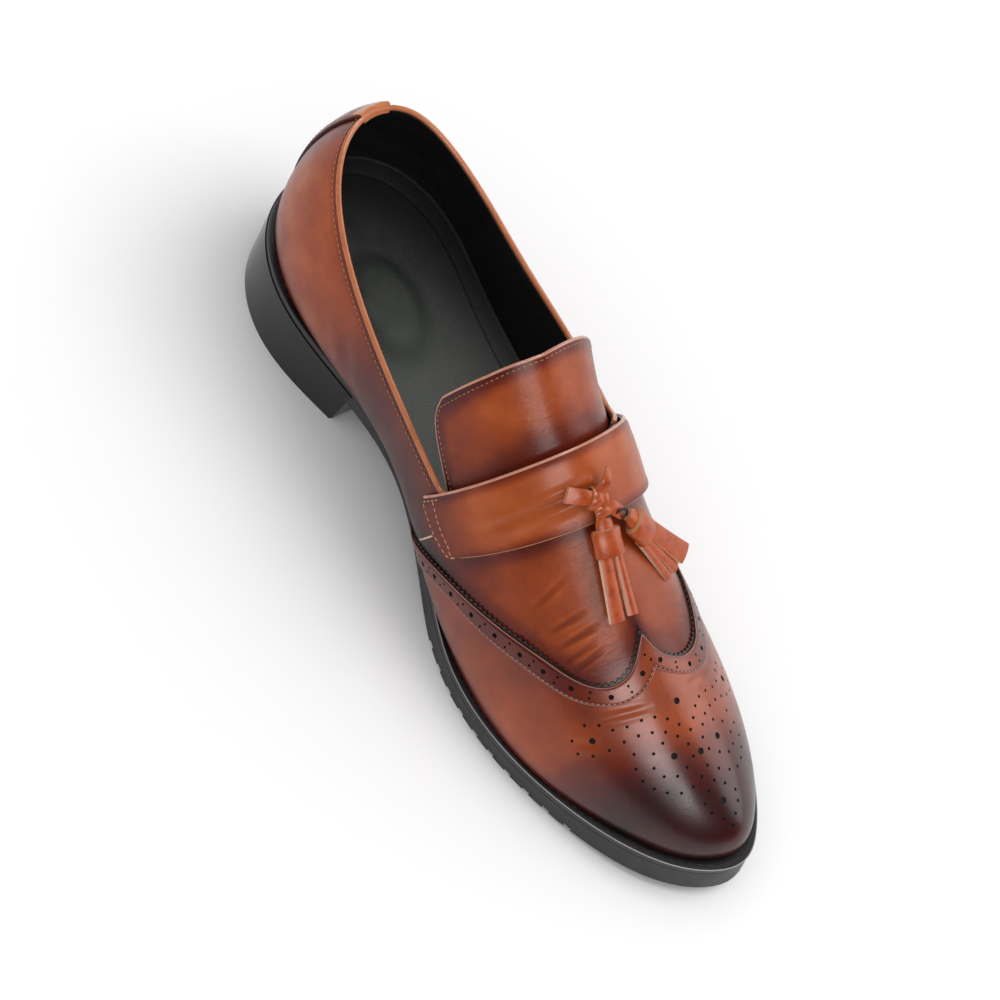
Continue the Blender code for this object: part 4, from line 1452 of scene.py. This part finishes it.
@dataclass
class Bottom:
    """Insole, welt, outsole and heel."""

    last: Last
    welt_deep: float = 3.5
    welt_inset: float = 2.4
    insole_above: float = 2.0
    insole_inset: float = 3.2
    cushion_at: tuple[float, float] = (-2.0, 60.0)     # oval heel cushion: middle in x and u
    cushion_half: tuple[float, float] = (14.5, 24.0)
    cushion_high: float = 4.2
    heel_shade_from: float = 18.0     # u where the painted shade on the sock is darkest, and the length over which it lightens
    heel_shade_over: float = 118.0
    heel_shade_power: float = 2.6
    turned: float = 0.11           # share up the rib that the sock's edge reaches
    sock_wall: float = 0.5
    trim: float = 0.3              # radius of the painted highlight along the welt's outer corner
    welt_glint: float = 0.22             # radius of the welt's rubbed corner
    breast: float = 82.0
    breast_rake: float = 3.0
    heel_cover: float = -0.40      # the lacquer laps over the sole's edge above the heel
    heel_inset_floor: float = 1.3
    pin_shares: tuple[float, float] = (0.36, 0.44)     # heel pins, along the heel's side
    pin_layer: float = 0.8         # their share of the heel's height
    pin_size: tuple[float, float, float] = (0.9, 0.9, 0.5)
    flare: float = 1.2
    flare_start: float = 230.0
    flare_end: float = 275.0
    lug_pitch: float = 9.0
    lug_slot: float = 3.2
    lug_deep: float = 1.4
    lug_reach: float = 9.0
    lug_first: float = 172.0
    lug_count: int = 10
    sewing: Sewing = Sewing(3.6, 2.6, 0.7, 0.5)
    stations: int = 150
    columns: int = 24

    def plan(self, edge: Callable, low: Callable, high: Callable, p_end: float,
             zones: Callable | None = None) -> bmesh.types.BMesh:
        """Solid under the foot from the heel to p_end.

        Args:
            edge: Plan points at places along the outline, for a layer.
            low: Height below, from u and x.
            high: Height above, from u and x.
            p_end: Last place along the outline.
            zones: Burnish and wrinkle, from the shares along and across.

        Returns:
            The mesh.
        """
        def place(a: Array, b: Array, layer: Array) -> Array:
            """Points across the sole from the medial to the lateral edge."""
            p = a * p_end
            point = blend(edge(p, layer), edge(self.last.around - p, layer), b[:, None])
            z = np.where(layer > 0.5, high(point[:, 1], point[:, 0]), low(point[:, 1], point[:, 0]))
            return np.column_stack((point, z))

        return slab(self.stations, self.columns, place, zones)

    def insole(self, finishes: Finishes) -> None:
        """Sock with an oval cushion under the heel, its edge turned up against the lining."""
        def cushion(u: Array, x: Array) -> Array:
            """Height of the cushion, soft at its border."""
            (at_x, at_u), (half_x, half_u) = self.cushion_at, self.cushion_half
            away = np.hypot((x - at_x) / half_x, (u - at_u) / half_u)
            return self.cushion_high * (1 - smooth(0.55, 1.0, away))

        def painted_heel_shade(a: Array, b: Array) -> tuple[Array, Array]:
            """Painted shade: dark at the heel, lighter towards the toe."""
            u = self.last.foot(a * self.last.half)[:, 1]
            share = np.clip((u - self.heel_shade_from) / self.heel_shade_over, 0.0, 1.0)
            return share ** self.heel_shade_power, np.zeros_like(a)

        sock = self.plan(lambda p, layer: self.last.outline(p, -self.insole_inset),
                         lambda u, x: self.last.seat(u) - GAP - self.welt_deep,
                         lambda u, x: self.last.seat(u) + self.insole_above + cushion(u, x),
                         self.last.half, painted_heel_shade)
        dress("insole_sock", sock, [finishes.sock, finishes.sock], ["insole"])

        def cove(a: Array, b: Array) -> Array:
            """Turned-up edge, from the flat of the sock to the wall."""
            p = a * self.last.around
            flat = np.column_stack((self.last.outline(p, -self.insole_inset - 0.2), np.zeros(len(p))))
            flat[:, 2] = self.last.seat(flat[:, 1]) + self.insole_above - 0.05
            wall, corner = (self.last.skin(p, np.full_like(p, self.turned * share), -WALL - GAP)
                            for share in (1.0, 0.5))
            bend = b[:, None]
            return flat * (1 - bend) ** 2 + 2 * corner * bend * (1 - bend) + wall * bend ** 2

        rim = to_world(cove(np.linspace(0.0, 1.0, 300), np.ones(300)))
        piping("sock_trim", (rim, np.tile(UP, (len(rim), 1))), self.trim, finishes.rubber, 6)

        def shaded(a: Array, b: Array) -> tuple[Array, Array]:
            """Painted shade as on the sock beside it, darker up the wall."""
            tone, flat = painted_heel_shade(2 * np.minimum(a, 1 - a), b)
            return tone * (1 - 0.5 * b), flat

        edge = dress("sock_edge", patch(240, 8, cove, shaded), [finishes.sock])
        thicken(edge, self.sock_wall)

    def ledge(self, inset: float, height: float, count: int = 500) -> Line:
        """Line round the welt.

        Args:
            inset: Distance inside the welt's edge in mm.
            height: Height over the ledge in mm.
            count: Points on it.

        Returns:
            Points in metres and their outward directions.
        """
        p = np.linspace(0, self.last.around, count)
        plan = self.last.sole_edge(p, -GAP - inset)
        points = np.column_stack((plan, self.last.seat(plan[:, 1]) - GAP + height))
        return to_world(points), np.tile(UP, (count, 1))

    def welt(self, finishes: Finishes) -> None:
        """Ledge all round, its top painted darker than its side as shade, with a painted highlight along
        its outer corner, and its stitches.
        """
        corners = np.array(((0, 0), (0, 1), (0.5, 1), (1, 1), (1, 0.5), (1, 0), (0, 0)), float)
        sides = len(corners) - 1

        def place(a: Array, b: Array) -> Array:
            """Ring of the welt's section."""
            p = a * self.last.around
            outer, top = corners[np.round(b * sides).astype(int)].T
            near = self.last.outline(p, -self.welt_inset)
            plan = blend(near, self.last.sole_edge(p), outer[:, None])
            z = self.last.seat(plan[:, 1]) - GAP - self.welt_deep * (1 - top)
            return np.column_stack((plan, z))

        ring = patch(360, sides, place)
        bmesh.ops.recalc_face_normals(ring, faces=ring.faces)
        # Faces that look up take the blacker finish as painted shade; the sides take the grey rubber.
        for face in ring.faces:
            face.material_index = int(abs(face.normal.z) < 0.6)
        ledge = dress("welt_ledge", ring, [finishes.welt, finishes.rubber], ["welt"])
        round_edges(ledge, 0.5)
        # The painted highlight runs along the forefoot and the waist, not round the heel.
        glint_span = slice(90, 420)
        corner, up = self.ledge(-0.15, -0.2)
        piping("welt_bead", (corner[glint_span], up[glint_span]), self.welt_glint, finishes.welt_glint, 6)
        self.sewing.sew("welt_stitching", [self.ledge(1.9, 0.05)], finishes.welt_thread, Slot.WELT)

    def outsole(self, finishes: Finishes) -> None:
        """Outsole with arch, toe spring and notched sides."""
        def edge(p: Array, layer: Array) -> Array:
            """Sole's edge, flared at the tread."""
            u = self.last.foot(p)[:, 1]
            reach = np.interp(u, (self.flare_start, self.flare_end), (0.0, self.flare))
            return self.last.sole_edge(p, reach * (1 - layer))

        tread = self.plan(edge, lambda u, x: self.last.tread(u),
                          lambda u, x: self.last.seat(u) - GAP - self.welt_deep + 0.05, self.last.half)
        sole = dress("outsole_tread", tread, [finishes.rubber, finishes.rubber], ["outsole"])
        cutter = bmesh.new()
        for row in range(self.lug_count):
            start = self.last.p_at(self.lug_first + row * self.lug_pitch)
            for p in (start, self.last.around - start):
                outer, inner = (self.last.sole_edge(np.array([p]), grow)[0]
                                for grow in (self.lug_reach, -self.lug_reach))
                x, u = (outer + inner) / 2
                way = outer - inner
                depth = 2 * (float(self.last.tread(u)[0]) + self.lug_deep)
                box = bmesh.ops.create_cube(cutter, size=1.0)["verts"]
                shape = Matrix.Diagonal((np.linalg.norm(way) * MM, self.lug_slot * MM, depth * MM, 1.0))
                turn = Matrix.Rotation(math.atan2(-way[1], way[0]), 4, "Z")
                spot = Matrix.Translation(Vector(to_world(np.array((x, u, 0.0)))))
                bmesh.ops.transform(cutter, matrix=spot @ turn @ shape, verts=box)
        notches = bpy.data.meshes.new("notches")
        cutter.to_mesh(notches)
        cutter.free()
        punch(sole, notches, finishes.rubber)
        round_edges(sole, 0.5)

    def heel(self, finishes: Finishes) -> None:
        """Heel block, lacquered in one with the sole above it, and two pins."""
        p_end = self.last.p_at(self.breast)

        def edge(p: Array, layer: Array) -> Array:
            """Heel outline, with a straight raked front."""
            inset = blend(self.heel_inset_floor, self.heel_cover, layer)
            point = self.last.sole_edge(p, -inset)
            front = self.breast - self.breast_rake * (1 - layer)
            last_row = np.minimum(p, self.last.around - p) > p_end * 0.999
            u = np.where(last_row, front, np.minimum(point[:, 1], front - 0.5))
            return np.column_stack((point[:, 0], u))

        block = self.plan(edge, lambda u, x: np.zeros_like(u),
                          lambda u, x: self.last.seat(u) - GAP - self.welt_deep - 0.05, p_end)
        item = dress("heel_block", block, [finishes.heel, finishes.heel], ["heel"])
        round_edges(item, 0.3)
        p = np.array(self.pin_shares) * p_end
        layer = np.full_like(p, self.pin_layer)
        plan = edge(p, layer)
        spots = to_world(np.column_stack((plan, self.pin_layer * self.last.seat(plan[:, 1]))))
        ways = to_world_way(unit(np.column_stack((edge(p + 1.0, layer) - plan, np.zeros_like(p)))))
        pins = frames_on(spots, ways, np.cross(UP, ways), self.pin_size)
        dress("heel_pins", scatter(stitch(), pins), [finishes.hole])

    def build(self, finishes: Finishes) -> None:
        """Make every piece under the foot."""
        self.insole(finishes)
        self.welt(finishes)
        self.outsole(finishes)
        self.heel(finishes)


@dataclass(frozen=True)
class Perch:
    """Local frame on the vamp, in metres and unit directions."""

    origin: Vector
    side: Vector
    along: Vector
    out: Vector

    def spot(self, across: Array, along: Array, lift: Array) -> Array:
        """Points in the model's frame of local places in millimetres."""
        rows = (np.outer(across, self.side) + np.outer(along, self.along) + np.outer(lift, self.out)) * MM
        return rows + np.array(self.origin)

    def back(self, points: Array) -> Array:
        """The same points in the last's directions, in millimetres."""
        x, y, z = np.asarray(points).T / MM
        return np.column_stack((x + CENTRE_X, CENTRE_U - y, z))


def perch(last: Last, spot: tuple[float, float, float], towards: Vector | None = None) -> Perch:
    """Frame on the vamp at a spot given as share along the outline, share up the rib and height.

    Args:
        last: The shoe's form.
        spot: Where it sits.
        towards: Point that its along direction looks to, or none for straight to the toe.

    Returns:
        The frame.
    """
    p = np.array([spot[0] * last.half])
    origin = Vector(to_world(last.skin(p, spot[1], spot[2]))[0])
    out = Vector(to_world_way(last.normal(p, np.array([spot[1]])))[0])
    along = (towards - origin) if towards is not None else out.cross(Vector((1.0, 0.0, 0.0))) * -1.0
    along = (along - out * along.dot(out)).normalized()
    return Perch(origin, along.cross(out) * -1.0, along, out)


@dataclass
class Tassel:
    """Tassel of russet leather: a rolled collar over a fringe of cut strips."""

    last: Last
    name: str
    neck: tuple[float, float, float]
    hem: tuple[float, float, float]
    # Fringe strips: place across at the collar and at the hem, width, height at the hem, length share.
    strips: tuple[tuple[float, float, float, float, float], ...]
    half_wide: float = 5.6
    half_high: float = 3.2
    fringe_start: float = 11.0     # where the strips come out of the collar
    thick: float = 1.5

    # Outline of the rolled collar: distance along it, share of its half width.
    ROLLS = (
        (-1.0, 0.45), (1.5, 0.60), (3.6, 0.64), (4.0, 0.97),
        (4.6, 1.04), (8.5, 1.0), (13.2, 1.05), (14.0, 0.98),
    )

    def strip(self, frame: Perch, length: float, row: Sequence[float]) -> bmesh.types.BMesh:
        """One strip of the fringe.

        Args:
            frame: Frame at the neck, with its along direction down the tassel.
            length: From the neck to the hem, in mm.
            row: Row of the strips' table.

        Returns:
            The mesh.
        """
        start, finish, width, hem_lift, share = row

        def place(a: Array, b: Array, layer: Array) -> Array:
            """Strip that hangs out of the collar with a slow curl."""
            run = blend(self.fringe_start, length * share, a)
            ease = a ** 1.3
            across = blend(start, finish, ease) + (b - 0.5) * width * blend(0.75, 1.0, a)
            cup = 0.5 * (2 * b - 1) ** 2
            lift = blend(0.25 * hem_lift, hem_lift, ease) - cup + (layer - 0.5) * self.thick
            return frame.back(frame.spot(across, run, lift))

        return slab(16, 4, place)

    def build(self, finishes: Finishes) -> None:
        """Make the collar and the fringe."""
        end = Vector(to_world(self.last.skin(self.hem[0] * self.last.half, *self.hem[1:]))[0])
        frame = perch(self.last, self.neck, end)
        slope = (end - frame.origin).normalized()
        side = slope.cross(frame.out).normalized()
        frame = Perch(frame.origin, side, slope, side.cross(slope))
        length = (end - frame.origin).length / MM

        along, wide = np.array(self.ROLLS).T
        flat = np.zeros_like(along)
        wrap = tube(frame.spot(flat, along, flat), np.tile(frame.out, (len(along), 1)),
                    wide * self.half_wide * MM, 28, self.half_high / self.half_wide)
        for face in wrap.faces:
            face.material_index = int(face.normal.dot(frame.along) < -0.75)
        dress(self.name + "_collar", wrap, [finishes.lace, finishes.cut])

        fringe = join([self.strip(frame, length, row) for row in self.strips])
        dress(self.name + "_fringe", fringe, [finishes.lace, finishes.raw], [self.name])


@dataclass
class Bow:
    """Knot of flat lace on the strap with two short ends, and the loops that carry the tassels."""

    last: Last
    spot: tuple[float, float, float] = (0.568, 0.995, 4.4)
    width: float = 5.6
    thick: float = 1.4
    knot: float = 3.9              # radius of the knot under its turns
    turn_wide: float = 4.6
    turn_thick: float = 0.9
    cord: float = 0.55             # radius of the loops

    # Lace ends: across and along at the start and at the finish, width at the finish, crown, curl.
    ENDS = (
        ((-1.0, -0.6), (-11.5, -6.4), 1.10, 1.2, 1.6),
        ((0.6, -1.2), (6.2, -10.4), 0.25, 2.4, 2.6),
        ((1.2, 1.6), (7.6, 8.8), 0.8, 1.4, 0.0),
        ((-0.4, 1.4), (-0.8, 7.6), 0.9, 1.6, 0.0),
    )
    # Turns of lace over the knot: angle in radians, shift across, size.
    TURNS = ((0.55, -1.6, 0.86), (0.25, 1.2, 0.80))
    # Cord loops under the knot: across, along, lift.
    LOOPS = (
        ((-2.0, 4.5, 2.2), (0.5, 6.6, 3.0), (3.4, 6.2, 3.2), (5.6, 5.0, 2.4)),
        ((3.6, 7.4, 2.4), (5.2, 6.2, 4.2), (7.6, 6.4, 4.6), (8.2, 8.6, 3.4), (6.2, 9.4, 2.6)),
    )

    def lace(self, frame: Perch, row: Sequence) -> bmesh.types.BMesh:
        """Flat lace from the knot to its cut end.

        Args:
            frame: Frame under the knot.
            row: Row of the ends' table.

        Returns:
            The mesh.
        """
        start, finish, tip, crown, curl = row
        way = np.array(finish) - np.array(start)
        cross = np.array((-way[1], way[0])) / np.linalg.norm(way)

        def place(a: Array, b: Array, layer: Array) -> Array:
            """Lace arched over the strap, roofed where it leaves the knot."""
            offset = (b - 0.5) * self.width * blend(1.0, tip, a ** 1.5)
            across = start[0] + way[0] * a + cross[0] * offset
            along = start[1] + way[1] * a + cross[1] * offset
            arch = crown * np.sin(np.pi * np.clip(a, 0, 1)) + curl * a ** 2
            roof = 0.8 * (1 - (2 * b - 1) ** 2) * (1 - a)
            lift = 1.0 + arch + roof - across ** 2 / 70 + layer * self.thick
            return frame.back(frame.spot(across, along, lift))

        return slab(16, 8, place)

    def turn(self, frame: Perch, row: Sequence[float]) -> bmesh.types.BMesh:
        """Lace wound over the knot.

        Args:
            frame: Frame under the knot.
            row: Row of the turns' table.

        Returns:
            The mesh.
        """
        angle, shift, size = row

        def place(a: Array, b: Array, layer: Array) -> Array:
            """Lace over a little more than half a round, thinner at its borders."""
            swing = math.pi * (a - 0.5) * 1.25
            radius = (self.knot + self.turn_thick * layer) * size - 0.5 * (2 * b - 1) ** 2
            along = radius * 1.15 * np.sin(swing)
            lift = radius * 1.05 * np.cos(swing) + 0.6
            across = shift + (b - 0.5) * self.turn_wide * size
            turned = across * math.cos(angle) - along * math.sin(angle)
            return frame.back(frame.spot(turned, across * math.sin(angle) + along * math.cos(angle), lift))

        return slab(22, 8, place)

    def build(self, finishes: Finishes) -> None:
        """Make the lace ends, the knot and the cord loops."""
        frame = perch(self.last, self.spot)
        laces = [self.lace(frame, row) for row in self.ENDS] + [self.turn(frame, row) for row in self.TURNS]
        laced = dress("bow_laces", join(laces), [finishes.lace, finishes.cut], ["bow"])
        round_edges(laced, 0.25)
        for number, corners in enumerate(self.LOOPS, 1):
            curve = Spline(np.arange(len(corners)), corners)(np.linspace(0, len(corners) - 1, 30))
            loop = frame.spot(*curve.T), np.tile(frame.out, (len(curve), 1))
            piping("cord_loop_%d" % number, loop, self.cord, finishes.cord, 8)


@dataclass
class Studio:
    """Pale floor, soft light and the camera at the photograph's angle."""

    azimuth: float = -64.6
    elevation: float = 61.3
    roll: float = 36.2
    distance: float = 2600.0       # mm
    focus: float = 2.353 * 1.18    # pixels for each millimetre at the shoe
    frame: int = 1000              # pixels across the picture
    sensor: float = 36.0
    aim: tuple[float, float, float] = (-12.2, 4.0, 47.2)   # middle of the shoe as the camera sees it, mm
    sky: float = 0.79              # strength of the white surroundings

    # Soft boxes that only show as highlights in polished leather: name, place, size, power, aim.
    BOXES = (
        ("front_box", (-1.45, -1.95, 2.25), (2.2, 0.7), 55.0, (-1.45, 0.0, 0.05)),
        ("crest_box", (0.15, 0.45, 2.2), (0.8, 0.8), 28.0, (0.0, 0.0, 0.05)),
        ("back_box", (0.35, 2.2, 2.2), (1.8, 0.8), 65.0, (0.0, 0.0, 0.05)),
        ("right_box", (2.4, -0.6, 1.2), (3.0, 2.0), 56.0, (0.0, 0.0, 0.05)),
    )

    def basis(self) -> tuple[Vector, Vector, Vector]:
        """Camera's right, up and back directions."""
        azimuth, elevation, roll = (math.radians(v) for v in (self.azimuth, self.elevation, self.roll))
        level = math.cos(elevation)
        back = Vector((math.sin(azimuth) * level, -math.cos(azimuth) * level, math.sin(elevation)))
        right = Vector((math.cos(azimuth), math.sin(azimuth), 0.0))
        up = back.cross(right)
        cos, sin = math.cos(roll), math.sin(roll)
        return right * cos + up * sin, up * cos - right * sin, back

    def camera(self) -> None:
        """Long lens looking down on the instep."""
        right, up, back = self.basis()
        lens = bpy.data.cameras.new("camera")
        lens.sensor_width = self.sensor
        lens.lens = self.focus * self.distance / self.frame * self.sensor
        lens.clip_end = 20.0
        item = bpy.data.objects.new("camera", lens)
        bpy.context.collection.objects.link(item)
        turn = Matrix((right, up, back)).transposed().to_4x4()
        item.matrix_world = Matrix.Translation((Vector(self.aim) + back * self.distance) * MM) @ turn
        bpy.context.scene.camera = item

    def lamp(self, name: str, place: tuple[float, float, float], size: tuple[float, float], power: float,
             aim: tuple[float, float, float]) -> bpy.types.Object:
        """Soft box over the shoe.

        Args:
            name: Name of the lamp.
            place: Where it hangs, in metres.
            size: Its width and height, in metres.
            power: In watts.
            aim: Point that it looks at, in metres.

        Returns:
            The lamp.
        """
        light = bpy.data.lights.new(name, "AREA")
        light.shape = "RECTANGLE"
        light.size, light.size_y = size
        light.energy = power
        item = bpy.data.objects.new(name, light)
        bpy.context.collection.objects.link(item)
        way = Vector(aim) - Vector(place)
        item.matrix_world = Matrix.Translation(place) @ way.to_track_quat("-Z", "Y").to_matrix().to_4x4()
        return item

    def floor(self) -> None:
        """Plain pale floor."""
        bm = bmesh.new()
        bmesh.ops.create_grid(bm, x_segments=8, y_segments=8, size=3.0)
        mesh = bpy.data.meshes.new("floor")
        bm.to_mesh(mesh)
        bm.free()
        # Painted floor: matt, nearly white and even.
        mesh.materials.append(PlainFinish("pale_floor", "#fafafa", "#f8f8f8", 0.7, 3.0, 0.0).material())
        item = bpy.data.objects.new("floor", mesh)
        bpy.context.collection.objects.link(item)

    def build(self) -> None:
        """Make floor, lights and camera."""
        self.camera()
        self.floor()
        world = bpy.data.worlds.new("studio")
        world.use_nodes = True
        sky = world.node_tree.nodes["Background"]
        sky.inputs["Color"].default_value = (1.0, 1.0, 1.0, 1.0)
        sky.inputs["Strength"].default_value = self.sky
        bpy.context.scene.world = world
        world.cycles_visibility.glossy = False
        # The key gives form and a soft shadow, and no highlight.
        key = self.lamp("overhead_key", (1.2, -0.8, 3.2), (2.2, 2.2), 48.0, (0.0, 0.0, 0.05))
        key.visible_glossy = False
        for box in self.BOXES:
            self.lamp(*box).visible_diffuse = False
        bpy.context.scene.view_settings.view_transform = "Standard"


def main() -> None:
    """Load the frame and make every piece."""
    logging.basicConfig(level=logging.INFO)
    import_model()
    finishes = Finishes()
    last = Last()
    Studio().build()
    for assembly in (Upper, Wing, Strap, Tongue, Back, Bottom, Bow):
        assembly(last).build(finishes)
    inner = ((2.4, 3.0, 5.8, 1.0, 1.0), (-2.9, -3.8, 3.8, 0.7, 0.98), (-0.4, -0.5, 2.4, -1.8, 0.9))
    outer = ((-2.4, -4.6, 8.0, 1.2, 1.0), (1.8, 1.6, 4.0, -0.3, 0.99), (4.0, 5.8, 3.6, -1.0, 0.95))
    Tassel(last, "tassel_inner", (0.588, 0.985, 6.0), (0.700, 0.93, 4.6), inner).build(finishes)
    Tassel(last, "tassel_outer", (1.404, 0.91, 6.3), (1.340, 0.64, 4.7), outer).build(finishes)


if __name__ == "__main__":
    main()
